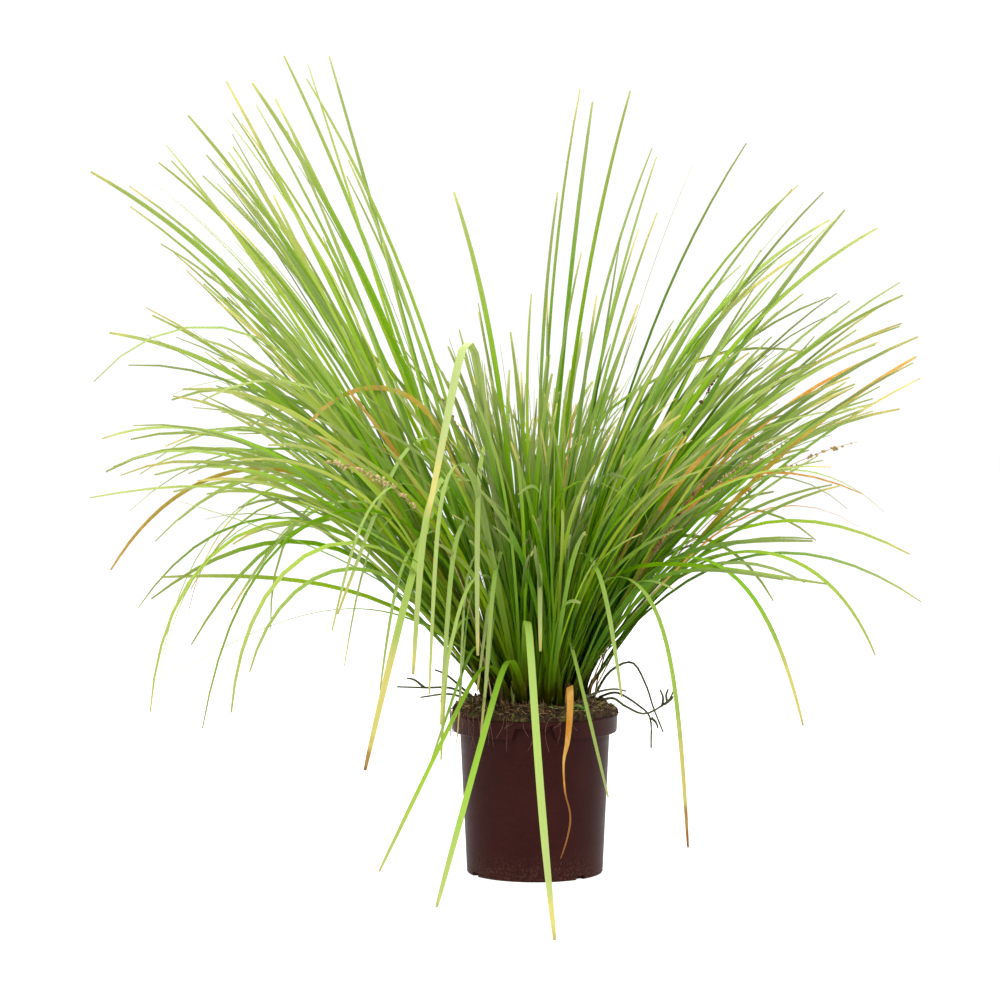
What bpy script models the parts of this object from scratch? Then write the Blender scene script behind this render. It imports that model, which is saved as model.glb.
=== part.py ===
"""Potted ornamental grass clump: a nursery pot, its potting mix, and a crown of grass shoots.

Metres, +Z up. The origin is the centre of the pot's underside, and -Y is the front.
Every strap leaf is a solid blade with a channel along its top and a keel below. It leaves its sheath
at a lean from the vertical, and the lean grows towards the tip by the droop, so the leaf arches. In a
hanging leaf nearly all of the droop comes at one bend.
"""

import math
from dataclasses import dataclass, replace

import bmesh
import bpy
from mathutils import Vector
from mathutils.bvhtree import BVHTree

MM = 0.001

# Pot: a moulded nursery pot with a rim band, a foot and drain notches.
POT_HEIGHT = 163 * MM
RIM_RADIUS = 85.0 * MM
RIM_BAND_HEIGHT = 18.5 * MM
SHOULDER_RADIUS = 76.8 * MM
BASE_RADIUS = 69.6 * MM
FOOT_HEIGHT = 5.0 * MM
WALL = 1.5 * MM
FLOOR = 2.0 * MM
POT_SIDES = 40
LABEL_RECESS_DEG = 15  # half the angle that the recess in the rim band spans
LABEL_RECESS_RISE = 11.5 * MM
NOTCH_ANGLES_DEG = (49, 151, 229, 331)  # measured from +X towards -Y
NOTCH_SIZE = (14 * MM, 12 * MM, 4.4 * MM)

# Potting mix: fills the pot and is heaped above its rim.
GAP = 0.5 * MM
MIX_TOP = 176 * MM
MIX_FLAT_RADIUS = 64 * MM
MIX_EDGE_RADIUS = 84 * MM

# Crown: one growing place for each shoot and each long leaf, on a sunflower spiral.
CROWN_RADIUS = 59 * MM
CROWN_SITES = 50
GOLDEN_ANGLE_DEG = 137.508
CROWN_BASE = MIX_TOP + GAP

# Blades.
BLADE_WIDTH = 5.6 * MM
KEEL_DEPTH = 1.3 * MM
CHANNEL_DEPTH = 0.35 * MM
SHEATH_HEIGHT = 16 * MM
SHEATH_DEPTH = 3.6 * MM
TIP_WIDTH = 0.3
LONG_LEAF_STEPS = 12
SHOOT_LEAF_STEPS = 6
FINE_STEPS = 4  # stretches worked out for each one that is modelled
NUDGES_DEG = (0, 2, -2, 4, -4, 6, -6, 8, -8, 11, -11, 14, -14, 18, -18, 22, -22, 26, -26)

# Dried flower stalks and the wiry stems that creep over the rim.
STALK_RADIUS = 0.8 * MM
SPIKE_SWELLING = (1.0, 1.0, 1.0, 1.0, 1.0, 1.2, 3.4, 4.2, 3.4, 1.0)
STEM_RADIUS = 1.2 * MM

GREEN = (0.17, 0.36, 0.04)
DARK_GREEN = (0.07, 0.20, 0.03)
STRAW = (0.62, 0.42, 0.10)
ORANGE = (0.75, 0.32, 0.03)
BURGUNDY = (0.045, 0.012, 0.014)
PEAT = (0.07, 0.035, 0.018)


@dataclass
class Leaf:
    """One blade: where it heads, how it arches, and how long and wide it is."""

    heading: float  # degrees from +X towards +Y
    lean: float  # degrees from the vertical where it leaves the sheath
    droop: float  # degrees added by the tip
    length: float  # millimetres
    power: float = 1.8  # how suddenly the droop comes
    bend: float = 2.0  # where the droop comes, as a fraction of the length; past 1 it never ends
    width: float = 1.0

    def tilt(self, along):
        """Radians from the vertical at a fraction of the length."""
        rise = along**self.power
        turn = self.bend**self.power
        return math.radians(self.lean + self.droop * rise * (1 + turn) / (rise + turn))

    def path(self, base, steps):
        """Points and frames along the blade, each as (point, side, upper)."""
        heading = math.radians(self.heading)
        side = Vector((-math.sin(heading), math.cos(heading), 0))
        out = Vector((math.cos(heading), math.sin(heading), 0))
        up = Vector((0, 0, 1))
        fine = steps * FINE_STEPS
        point = Vector(base)
        stations = []
        for step in range(fine + 1):
            if step % FINE_STEPS == 0:
                tilt = self.tilt(step / fine)
                tangent = out * math.sin(tilt) + up * math.cos(tilt)
                stations.append((point.copy(), side, tangent.cross(side)))
            tilt = self.tilt((step + 0.5) / fine)
            point += (out * math.sin(tilt) + up * math.cos(tilt)) * (self.length * MM / fine)
        return stations


# The long leaves that stand clear of the clump: heading, lean, droop, length, power, bend, width.
LONG_LEAVES = (
    # high on the left
    Leaf(180, 15, 11, 675, 2),
    Leaf(174, 17, 18, 672, 2),
    Leaf(186, 20, 21, 655, 1.8),
    Leaf(170, 22, 31, 648, 2),
    Leaf(190, 24, 37, 662, 2),
    # arching to the left
    Leaf(176, 28, 54, 570, 2),
    Leaf(196, 34, 76, 500, 2.5),
    Leaf(166, 36, 88, 530, 2.5),
    # drooping at the left
    Leaf(203, 37, 138, 540, 4, 0.64),
    Leaf(194, 29, 148, 630, 4, 0.55),
    Leaf(165, 31, 138, 530, 4, 0.66),
    Leaf(200, 52, 68, 405, 3, 0.5),
    # upright, in the middle
    Leaf(150, 5, 16, 512, 2.5),
    Leaf(40, -1, 12, 502, 2.5),
    # high on the right
    Leaf(8, 4, 12, 612, 2),
    Leaf(-12, 7, 12, 545, 2),
    Leaf(12, 14, 48, 575, 2),
    Leaf(-8, 19, 42, 572, 2),
    Leaf(4, 26, 46, 515, 2),
    Leaf(-16, 25, 42, 528, 2),
    # drooping at the right
    Leaf(10, 28, 106, 450, 3.5, 0.85),
    Leaf(-15, 36, 122, 396, 3.5, 0.68),
    Leaf(-36, 32, 132, 418, 4.5, 0.52),
    Leaf(-48, 23, 152, 448, 5, 0.36),
    # hanging towards the front
    Leaf(-89, 44, 96, 492, 4, 0.24, 1.3),
    Leaf(-104, 50, 78, 410, 5, 0.17, 1.1),
    Leaf(-116, 50, 80, 338, 5, 0.16),
    Leaf(-140, 6, 158, 530, 8, 0.4, 1.3),
    Leaf(-58, 3, 153, 318, 7, 0.3),
)

# Dried flower stalks, described like leaves.
FLOWER_STALKS = (
    Leaf(6, 16, 16, 380),
    Leaf(-30, 24, 18, 265),
    Leaf(-6, 27, 50, 390),
    Leaf(-135, 16, 70, 360),
)

# Points in millimetres along the two wiry stems, which leave the potting mix at the right.
WIRY_STEMS = (
    ((66, 10, 177.5), (78, 8, 182), (88, 7, 181), (106, 6, 169.5), (118, 5, 156.5), (119, 4, 126)),
    ((67, -14, 177.5), (80, -14, 179), (92, -15, 171), (112, -16, 163.5), (134, -17, 176), (141, -18, 188)),
)

# Points in millimetres along the dried blade that hangs down the front of the pot, and its width there.
DRY_BLADE = (
    ((31, -46, 177), 4.6),
    ((33, -62, 194), 5.6),
    ((34, -78, 197), 6.4),
    ((34, -86, 184), 6.4),
    ((33, -87, 162), 5.8),
    ((31, -87, 142), 4.6),
    ((27.5, -86, 123), 2.4),
    ((29, -86, 94), 2.0),
    ((33.5, -87, 76), 2.2),
    ((34, -87, 62), 2.2),
    ((30, -86, 43), 1.8),
    ((24.5, -86, 27), 1.2),
)


def material(name, colour, roughness):
    made = bpy.data.materials.new(name)
    made.use_nodes = True
    shader = made.node_tree.nodes["Principled BSDF"]
    shader.inputs["Base Color"].default_value = (*colour, 1)
    shader.inputs["Roughness"].default_value = roughness
    return made


def add_object(name, mesh, finish):
    obj = bpy.data.objects.new(name, mesh)
    bpy.context.scene.collection.objects.link(obj)
    mesh.materials.append(finish)
    return obj


def mesh_from(name, bm):
    bmesh.ops.recalc_face_normals(bm, faces=bm.faces)
    mesh = bpy.data.meshes.new(name)
    bm.to_mesh(mesh)
    bm.free()
    return mesh


def turned(profile, sides):
    """A closed solid from a profile of (radius, height) points whose ends lie on the Z axis."""
    bm = bmesh.new()
    points = [bm.verts.new((radius, 0, height)) for radius, height in profile]
    edges = [bm.edges.new(pair) for pair in zip(points, points[1:])]
    bmesh.ops.spin(
        bm,
        geom=points + edges,
        axis=(0, 0, 1),
        cent=(0, 0, 0),
        angle=2 * math.pi,
        steps=sides,
        use_merge=True,
    )
    bmesh.ops.remove_doubles(bm, verts=bm.verts, dist=0.00001)
    return bm


def pot_profile():
    """Up the outside from the middle of the underside, over the lip, and down the inside."""
    band_foot = POT_HEIGHT - RIM_BAND_HEIGHT
    return (
        (0, 0),
        (BASE_RADIUS - 1.6 * MM, 0),
        (BASE_RADIUS, 1.4 * MM),
        (BASE_RADIUS - 0.4 * MM, FOOT_HEIGHT),
        (SHOULDER_RADIUS, band_foot),
        (RIM_RADIUS - 1.4 * MM, band_foot + 1.0 * MM),
        (RIM_RADIUS - 0.5 * MM, POT_HEIGHT - 2.2 * MM),
        (RIM_RADIUS, POT_HEIGHT - 0.6 * MM),
        (RIM_RADIUS - WALL, POT_HEIGHT),
        (RIM_RADIUS - 1.4 * MM - WALL, band_foot + 1.0 * MM + WALL),
        (SHOULDER_RADIUS - WALL, band_foot + WALL),
        (BASE_RADIUS - 0.4 * MM - WALL, FLOOR),
        (0, FLOOR),
    )


def raise_shoulder(bm):
    """Lifts the lower edge of the rim band at the front, which makes the recess for a plant label."""
    lowest = POT_HEIGHT - RIM_BAND_HEIGHT - MM
    highest = lowest + 4.5 * MM
    for vert in bm.verts:
        from_front = math.degrees(math.atan2(vert.co.x, -vert.co.y))
        if lowest < vert.co.z < highest and abs(from_front) < LABEL_RECESS_DEG:
            vert.co.z += LABEL_RECESS_RISE


def notch_cutter(index, angle_deg):
    bm = bmesh.new()
    bmesh.ops.create_cube(bm, size=1)
    bmesh.ops.scale(bm, vec=NOTCH_SIZE, verts=bm.verts)
    cutter = bpy.data.objects.new(f"drain_notch_{index}", mesh_from("drain_notch", bm))
    bpy.context.scene.collection.objects.link(cutter)
    angle = -math.radians(angle_deg)
    reach = BASE_RADIUS - 1.5 * MM
    cutter.location = (reach * math.cos(angle), reach * math.sin(angle), 1.2 * MM)
    cutter.rotation_euler.z = angle
    cutter.hide_render = True
    cutter.display_type = "WIRE"
    return cutter


def make_pot():
    bm = turned(pot_profile(), POT_SIDES)
    raise_shoulder(bm)
    pot = add_object("pot", mesh_from("pot", bm), material("pot", BURGUNDY, 0.4))
    pot.data.shade_smooth()
    pot.data.set_sharp_from_angle(angle=math.radians(35))
    for index, angle_deg in enumerate(NOTCH_ANGLES_DEG, 1):
        cut = pot.modifiers.new(f"drain_notch_{index}", "BOOLEAN")
        cut.operation = "DIFFERENCE"
        cut.solver = "EXACT"
        cut.object = notch_cutter(index, angle_deg)
    return pot


def make_potting_mix():
    band_foot = POT_HEIGHT - RIM_BAND_HEIGHT
    bottom = BASE_RADIUS - 0.4 * MM - WALL - GAP
    lump = 2.2 * MM
    profile = (
        (0, FLOOR + GAP),
        (bottom, FLOOR + GAP),
        (SHOULDER_RADIUS - WALL - 2 * GAP, band_foot + WALL + GAP),
        (SHOULDER_RADIUS - WALL - 2 * GAP, POT_HEIGHT - 4 * MM),
        (RIM_RADIUS - 0.6 * MM - WALL - GAP, POT_HEIGHT + GAP),
        (MIX_EDGE_RADIUS, POT_HEIGHT + 1.2 * MM),
        (MIX_EDGE_RADIUS - 5 * MM, MIX_TOP - 4 * MM),
        (MIX_FLAT_RADIUS, MIX_TOP),
        (0, MIX_TOP),
    )
    bm = turned(profile, 28)
    for vert in bm.verts:
        edge = vert.co.xy.length
        if vert.co.z > POT_HEIGHT + 3 * MM and edge > MIX_FLAT_RADIUS + MM:
            angle = math.atan2(vert.co.y, vert.co.x)
            vert.co.z += lump * math.sin(5 * angle) * math.cos(3 * angle + 1)
    mix = add_object("potting_mix", mesh_from("potting_mix", bm), material("peat", PEAT, 0.95))
    mix.data.shade_smooth()
    return mix


def section(station, width):
    """The four corners of a blade's section: left edge, channel, right edge and keel."""
    point, side, upper = station
    return (
        point - side * width / 2,
        point - upper * CHANNEL_DEPTH,
        point + side * width / 2,
        point - upper * KEEL_DEPTH,
    )


def extrude_blade(bm, face, leaf, base, steps):
    """Grows a blade out of a four-sided face, one extrusion for each stretch."""
    width = BLADE_WIDTH * leaf.width
    for step, station in enumerate(leaf.path(base, steps)[1:], 1):
        along = step / steps
        taper = 1 - (1 - TIP_WIDTH) * along**3
        face = bmesh.ops.extrude_discrete_faces(bm, faces=[face])["faces"][0]
        corners = section(station, width * taper)
        for loop, corner in zip(face.loops, corners):
            loop.vert.co = corner


def sheath_block(bm, base, heading_deg, cells, cell_width):
    """The sheathed foot: a short block that is cells wide, and its top faces in order."""
    heading = math.radians(heading_deg)
    side = Vector((-math.sin(heading), math.cos(heading), 0))
    out = Vector((math.cos(heading), math.sin(heading), 0))
    rows = []
    for height, spread in ((0, 0.8), (SHEATH_HEIGHT, 1.0)):
        middle = Vector(base) + Vector((0, 0, height)) + out * (height * 0.15)
        row = []
        for cell in range(cells + 1):
            across = (cell - cells / 2) * cell_width * spread
            for depth in (0.5, -0.5):
                offset = side * across + out * (depth * SHEATH_DEPTH * spread)
                row.append(bm.verts.new(middle + offset))
        rows.append(row)
    low, high = rows
    tops = []
    for cell in range(cells):
        a, b, c, d = (2 * cell, 2 * cell + 1, 2 * cell + 3, 2 * cell + 2)
        tops.append(bm.faces.new([high[i] for i in (a, b, c, d)]))
        bm.faces.new([low[i] for i in (d, c, b, a)])
        bm.faces.new((low[a], high[a], high[d], low[d]))
        bm.faces.new((low[c], high[c], high[b], low[b]))
    last = 2 * cells
    bm.faces.new((low[1], high[1], high[0], low[0]))
    bm.faces.new((low[last], high[last], high[last + 1], low[last + 1]))
    return tops


def blade_mesh(name, leaves, base, steps):
    """One sheath with its blades side by side, as one closed body."""
    bm = bmesh.new()
    cell_width = BLADE_WIDTH * 0.8
    heading = leaves[0].heading
    tops = sheath_block(bm, base, heading, len(leaves), cell_width)
    for face, leaf in zip(tops, leaves):
        start = face.calc_center_median()
        bmesh.ops.inset_individual(bm, faces=[face], thickness=0.4 * MM)
        extrude_blade(bm, face, leaf, start, steps)
    return mesh_from(name, bm)


def crown_sites():
    """Growing places on the potting mix, from the middle outwards."""
    sites = []
    for index in range(CROWN_SITES):
        radius = CROWN_RADIUS * math.sqrt((index + 0.4) / CROWN_SITES)
        angle = math.radians(GOLDEN_ANGLE_DEG * index)
        sites.append(Vector((radius * math.cos(angle), radius * math.sin(angle), CROWN_BASE)))
    return sites


def nearest_site(sites, leaf):
    """Takes the free place that suits a leaf: the more it leans, the nearer the crown's edge."""
    radius = CROWN_RADIUS * min(1.0, leaf.lean / 34)
    heading = math.radians(leaf.heading)
    wish = Vector((radius * math.cos(heading), radius * math.sin(heading), CROWN_BASE))
    site = min(sites, key=lambda place: (place - wish).length)
    sites.remove(site)
    return site


def tree_of(mesh):
    points = [vert.co.copy() for vert in mesh.vertices]
    return BVHTree.FromPolygons(points, [tuple(poly.vertices) for poly in mesh.polygons])


def place_clear(leaves, build, standing):
    """Builds a shoot turned by the smallest step that keeps it clear of everything already standing."""
    for nudge in NUDGES_DEG:
        mesh = build([replace(leaf, heading=leaf.heading + nudge) for leaf in leaves])
        tree = tree_of(mesh)
        if not any(tree.overlap(other) for other in standing):
            standing.append(tree)
            return mesh
        bpy.data.meshes.remove(mesh)
    raise RuntimeError("a shoot has no clear heading")


def shoot_leaves(site):
    """Three blades of an ordinary shoot: the outer shoots lean and arch more, and reach furthest sideways."""
    out = math.hypot(site.x, site.y) / CROWN_RADIUS
    heading = math.degrees(math.atan2(site.y, site.x))
    sideways = abs(math.cos(math.radians(heading)))
    lean = 3 + 25 * out
    droop = 12 + 36 * out
    length = 400 + 50 * out + 70 * out * sideways
    return (
        Leaf(heading - 5, lean, droop * 1.1, length * 0.86),
        Leaf(heading, lean * 0.85, droop * 0.8, length),
        Leaf(heading + 5, lean * 1.1, droop * 1.3, length * 0.74),
    )


def make_leaves(standing):
    green = material("leaf_green", GREEN, 0.5)
    sites = crown_sites()
    for number, leaf in enumerate(LONG_LEAVES, 1):
        name = f"long_leaf_{number:02d}"
        site = nearest_site(sites, leaf)
        mesh = place_clear(
            [leaf], lambda turned: blade_mesh(name, turned, site, LONG_LEAF_STEPS), standing
        )
        add_object(name, mesh, green)
    for number, site in enumerate(sites, 1):
        name = f"shoot_{number:02d}"
        mesh = place_clear(
            shoot_leaves(site),
            lambda turned: blade_mesh(name, turned, site, SHOOT_LEAF_STEPS),
            standing,
        )
        add_object(name, mesh, green)


def rod_mesh(name, points, radii):
    """A round stem through the points, made as a bevelled curve with filled ends."""
    curve = bpy.data.curves.new(name, "CURVE")
    curve.dimensions = "3D"
    curve.bevel_depth = 1.0
    curve.bevel_resolution = 1
    curve.use_fill_caps = True
    spline = curve.splines.new("POLY")
    spline.points.add(len(points) - 1)
    for end, point, radius in zip(spline.points, points, radii):
        end.co = (*point, 1)
        end.radius = radius
    guide = bpy.data.objects.new(name, curve)
    mesh = bpy.data.meshes.new_from_object(guide)
    bpy.data.objects.remove(guide)
    bm = bmesh.new()
    bm.from_mesh(mesh)
    bpy.data.meshes.remove(mesh)
    bmesh.ops.remove_doubles(bm, verts=bm.verts, dist=0.00001)
    return mesh_from(name, bm)


def make_flower_stalks(standing):
    """Thin stalks from between the shoots, each swelling into a spike of dry flowers near its tip."""
    straw = material("dry_flower", STRAW, 0.8)
    radii = [STALK_RADIUS * swelling for swelling in SPIKE_SWELLING]
    for number, stalk in enumerate(FLOWER_STALKS, 1):
        name = f"flower_spike_{number}"

        def build(turned):
            heading = math.radians(turned[0].heading)
            foot = Vector((math.cos(heading), math.sin(heading), 0)) * (CROWN_RADIUS + 5 * MM)
            foot.z = CROWN_BASE
            stations = turned[0].path(foot, len(radii) - 1)
            return rod_mesh(name, [point for point, _, _ in stations], radii)

        add_object(name, place_clear([stalk], build, standing), straw)


def make_wiry_stems(standing):
    green = material("wiry_stem", DARK_GREEN, 0.6)
    for number, points in enumerate(WIRY_STEMS, 1):
        name = f"wiry_stem_{number}"
        places = [Vector(point) * MM for point in points]
        mesh = rod_mesh(name, places, [STEM_RADIUS] * len(places))
        standing.append(tree_of(mesh))
        add_object(name, mesh, green)


def make_dry_blade(standing):
    """A dead blade that hangs over the rim and narrows to a curled tail."""
    bm = bmesh.new()
    places = [Vector(point) * MM for point, _ in DRY_BLADE]
    ahead = places[1:] + [places[-1] * 2 - places[-2]]
    face = None
    for place, following, (_, width) in zip(places, ahead, DRY_BLADE):
        tangent = (following - place).normalized()
        side = Vector((1, 0, 0)).cross(tangent).cross(tangent).normalized() * -1
        corners = section((place, side, tangent.cross(side)), width * MM)
        if face is None:
            start = [bm.verts.new(corner) for corner in corners]
            face = bm.faces.new(start)
            continue
        face = bmesh.ops.extrude_discrete_faces(bm, faces=[face])["faces"][0]
        for loop, corner in zip(face.loops, corners):
            loop.vert.co = corner
    bm.faces.new(start[::-1])
    mesh = mesh_from("dry_blade", bm)
    standing.append(tree_of(mesh))
    add_object("dry_blade", mesh, material("dry_leaf", ORANGE, 0.6))


def clear_scene():
    for obj in list(bpy.data.objects):
        bpy.data.objects.remove(obj, do_unlink=True)


def main():
    clear_scene()
    pot = make_pot()
    mix = make_potting_mix()
    standing = [tree_of(pot.data), tree_of(mix.data)]
    make_dry_blade(standing)
    make_wiry_stems(standing)
    make_leaves(standing)
    make_flower_stalks(standing)


main()
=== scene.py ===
# %% [markdown]
# # A potted clump of strap-leaved grass
#
# The object is a burgundy nursery pot, filled with potting mix, out of which one clump of long
# strap leaves fans out, arches and hangs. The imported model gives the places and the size.
# Everything that is seen is built here around it: the pot is turned from a profile, the potting mix
# is a displaced mound strewn with crumbs and fibres, and each CAD shoot is replaced by the tuft of
# leaves that it stands for.

import math
from contextlib import contextmanager

import bpy
import numpy as np
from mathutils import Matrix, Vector


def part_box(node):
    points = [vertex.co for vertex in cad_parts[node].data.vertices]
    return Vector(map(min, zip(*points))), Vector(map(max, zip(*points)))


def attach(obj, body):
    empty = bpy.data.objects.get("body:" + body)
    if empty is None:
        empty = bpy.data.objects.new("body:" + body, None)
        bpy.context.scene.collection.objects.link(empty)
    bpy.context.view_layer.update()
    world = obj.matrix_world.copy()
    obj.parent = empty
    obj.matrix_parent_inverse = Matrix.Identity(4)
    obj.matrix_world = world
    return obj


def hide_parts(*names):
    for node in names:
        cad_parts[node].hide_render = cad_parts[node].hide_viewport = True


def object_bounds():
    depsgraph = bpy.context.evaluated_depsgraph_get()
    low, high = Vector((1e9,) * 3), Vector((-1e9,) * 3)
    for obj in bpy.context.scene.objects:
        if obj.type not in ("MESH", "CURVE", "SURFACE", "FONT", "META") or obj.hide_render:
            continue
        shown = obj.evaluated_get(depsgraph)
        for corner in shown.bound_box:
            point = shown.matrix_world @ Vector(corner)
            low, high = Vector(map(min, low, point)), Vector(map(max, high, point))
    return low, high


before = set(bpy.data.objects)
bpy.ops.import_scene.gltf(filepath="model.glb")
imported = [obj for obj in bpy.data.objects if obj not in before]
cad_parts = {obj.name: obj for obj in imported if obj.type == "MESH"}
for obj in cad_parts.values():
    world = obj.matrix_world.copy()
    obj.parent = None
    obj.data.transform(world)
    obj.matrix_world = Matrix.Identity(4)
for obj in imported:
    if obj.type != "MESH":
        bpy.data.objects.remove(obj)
cad_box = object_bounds()
MM = 0.001
rng = np.random.default_rng(11)
print("CAD box in metres", [[round(v, 3) for v in corner] for corner in cad_box])

# %% [markdown]
# ## Working by hand
#
# Blender's operators act on everything that is selected, so each piece starts from an empty
# selection. Points, edges or faces are selected by a test on their place, and the work on them is
# done in edit mode. A finished piece rides on the one body of the model, hides the CAD node it
# stands for, and gets its finish.


# %% Small helpers for selecting and finishing
def deselect():
    if bpy.context.object and bpy.context.object.mode != "OBJECT":
        bpy.ops.object.mode_set(mode="OBJECT")
    bpy.ops.object.select_all(action="DESELECT")


def pick(piece):
    deselect()
    piece.select_set(True)
    bpy.context.view_layer.objects.active = piece


def select_parts(piece, points=None, edges=None, faces=None):
    """Selects the parts of a mesh that pass a test, and none of the others."""
    mesh = piece.data
    for parts, test in ((mesh.vertices, points), (mesh.edges, edges), (mesh.polygons, faces)):
        for part in parts:
            part.select = bool(test and test(part))


@contextmanager
def edit_mode(select_all=False):
    """Opens the active piece in edit mode, and closes it again."""
    bpy.ops.object.mode_set(mode="EDIT")
    if select_all:
        bpy.ops.mesh.select_all(action="SELECT")
    yield
    bpy.ops.object.mode_set(mode="OBJECT")


def finish_piece(piece, material, node):
    """Gives a finished piece its material, puts it on the body, and hides the CAD node it stands
    for.
    """
    piece.data.materials.clear()
    piece.data.materials.append(material)
    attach(piece, "root")
    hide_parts(node)
    print(piece.name, len(piece.data.polygons), "faces")


# %% [markdown]
# ## Wiring materials
#
# Every finish is a small network of shader nodes. One helper adds a node, gives it its settings,
# and fills its inputs with numbers, colours or the outputs of earlier nodes, so a material reads
# from top to bottom.


# %% A helper that adds a shader node
def add(tree, kind, settings=(), **inputs):
    """Adds a node. Inputs go by name with _ for a space, or as in0, in1 where names repeat."""
    made = tree.nodes.new("ShaderNode" + kind)
    for key, value in dict(settings).items():
        setattr(made, key, value)
    for key, value in inputs.items():
        if key.startswith("in") and key[2:].isdigit():
            socket = made.inputs[int(key[2:])]
        else:
            socket = made.inputs[key.replace("_", " ")]
        if isinstance(value, bpy.types.NodeSocket):
            tree.links.new(value, socket)
        else:
            socket.default_value = value
    return made


def maths(tree, operation, *values, clamp=False):
    settings = {"operation": operation, "use_clamp": clamp}
    inputs = {f"in{i}": value for i, value in enumerate(values)}
    return add(tree, "Math", settings, **inputs).outputs[0]


def plus(tree, first, second):
    return maths(tree, "ADD", first, second)


def times(tree, first, second):
    return maths(tree, "MULTIPLY", first, second)


def blend_colours(tree, share, first, second, how="MIX"):
    """Mixes two colours. A share of 0 gives the first, and 1 the second."""
    settings = {"data_type": "RGBA", "blend_type": how}
    return add(tree, "Mix", settings, in0=share, in6=first, in7=second).outputs[2]


def noise(tree, place, scale, detail, **more):
    return add(tree, "TexNoise", Vector=place, Scale=scale, Detail=detail, **more).outputs[0]


def ramp(tree, value, stops):
    """Turns a number into a colour through (place, colour) stops."""
    made = add(tree, "ValToRGB", in0=value)
    elements = made.color_ramp.elements
    while len(elements) < len(stops):
        elements.new(0.5)
    for element, (place, colour) in zip(elements, stops):
        element.position = place
        element.color = colour
    return made.outputs[0]


def between(tree, value, low, high):
    """A smooth step from 0 at low to 1 at high."""
    settings = {"interpolation_type": "SMOOTHSTEP"}
    return add(tree, "MapRange", settings, Value=value, From_Min=low, From_Max=high).outputs[0]


def paint(red, green, blue):
    """A colour in the 0 to 255 steps of a paint chart, as the linear values Blender uses."""
    steps = [c / 255 for c in (red, green, blue)]
    return tuple(c / 12.92 if c <= 0.04045 else ((c + 0.055) / 1.055) ** 2.4 for c in steps) + (1,)


def new_group(name, inputs, outputs):
    """An empty node group with its sockets, and its input and output nodes."""
    tree = bpy.data.node_groups.new(name, "ShaderNodeTree")
    kinds = {"value": "NodeSocketFloat", "colour": "NodeSocketColor", "vector": "NodeSocketVector"}
    for label, kind, default in inputs:
        socket = tree.interface.new_socket(name=label, in_out="INPUT", socket_type=kinds[kind])
        if default is not None:
            socket.default_value = default
    for label, kind in outputs:
        tree.interface.new_socket(name=label, in_out="OUTPUT", socket_type=kinds[kind])
    return tree, tree.nodes.new("NodeGroupInput").outputs, tree.nodes.new("NodeGroupOutput").inputs


def use_group(tree, group, **inputs):
    return add(tree, "Group", {"node_tree": group}, **inputs).outputs


def new_material(name):
    material = bpy.data.materials.new(name)
    material.use_nodes = True
    tree = material.node_tree
    return material, tree, tree.nodes["Principled BSDF"]


# %% [markdown]
# ## Two effects that several finishes share
#
# Nothing here is one even colour. "Mottle" gives cloudy patches with a finer grain over them, and
# "fine relief" turns such a grain into small bumps. Both are node groups, so each material uses
# them at its own scale.


# %% The mottle group
def make_mottle():
    inputs = (
        ("Coordinates", "vector", None),
        ("Scale", "value", 40.0),
        ("Fine share", "value", 0.4),
    )
    tree, given, out = new_group("mottle", inputs, (("Mask", "value"),))
    broad = noise(tree, given["Coordinates"], given["Scale"], 3.0, Roughness=0.6)
    fine_scale = times(tree, given["Scale"], 6.3)
    fine = noise(tree, given["Coordinates"], fine_scale, 2.0)
    mixed = add(tree, "Mix", in0=given["Fine share"], in2=broad, in3=fine).outputs[0]
    tree.links.new(between(tree, mixed, 0.32, 0.68), out["Mask"])
    return tree


def make_relief():
    inputs = (
        ("Coordinates", "vector", None),
        ("Scale", "value", 300.0),
        ("Strength", "value", 0.3),
        ("Depth", "value", 0.0003),
    )
    tree, given, out = new_group("fine relief", inputs, (("Normal", "vector"), ("Height", "value")))
    grain = noise(tree, given["Coordinates"], given["Scale"], 4.0, Roughness=0.65)
    bump = add(tree, "Bump", Height=grain, Strength=given["Strength"], Distance=given["Depth"])
    tree.links.new(bump.outputs[0], out["Normal"])
    tree.links.new(grain, out["Height"])
    return tree


mottle = make_mottle()
fine_relief = make_relief()
print("node groups", [group.name for group in bpy.data.node_groups])


# %% Use the two groups in a finish
def mottled(tree, place, scale, fine):
    """The mottle's mask, from 0 to 1, at a scale and with a share of fine grain."""
    return use_group(tree, mottle, Coordinates=place, Scale=scale, Fine_share=fine)["Mask"]


def wire_up(tree, shader, place, colour, rough, specular, grain):
    """Connects colour and roughness, and adds fine relief of a (scale, strength, depth)."""
    tree.links.new(colour, shader.inputs["Base Color"])
    tree.links.new(rough, shader.inputs["Roughness"])
    shader.inputs["Specular IOR Level"].default_value = specular
    inputs = dict(zip(("Scale", "Strength", "Depth"), grain))
    relief = use_group(tree, fine_relief, Coordinates=place, **inputs)
    tree.links.new(relief["Normal"], shader.inputs["Normal"])


# %% [markdown]
# ## The pot
#
# The pot is one thin moulding: a tapered body, a foot, and a wide rim band that stands proud of the
# body. It is a turned shape, so its half section is drawn point by point, by extruding one vertex,
# and spun round the Z axis. Drawing the section shows every lip and step that catches the light.
# The section goes up the outside, over the lip and down the inside, so the wall has its real
# thickness.


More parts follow.
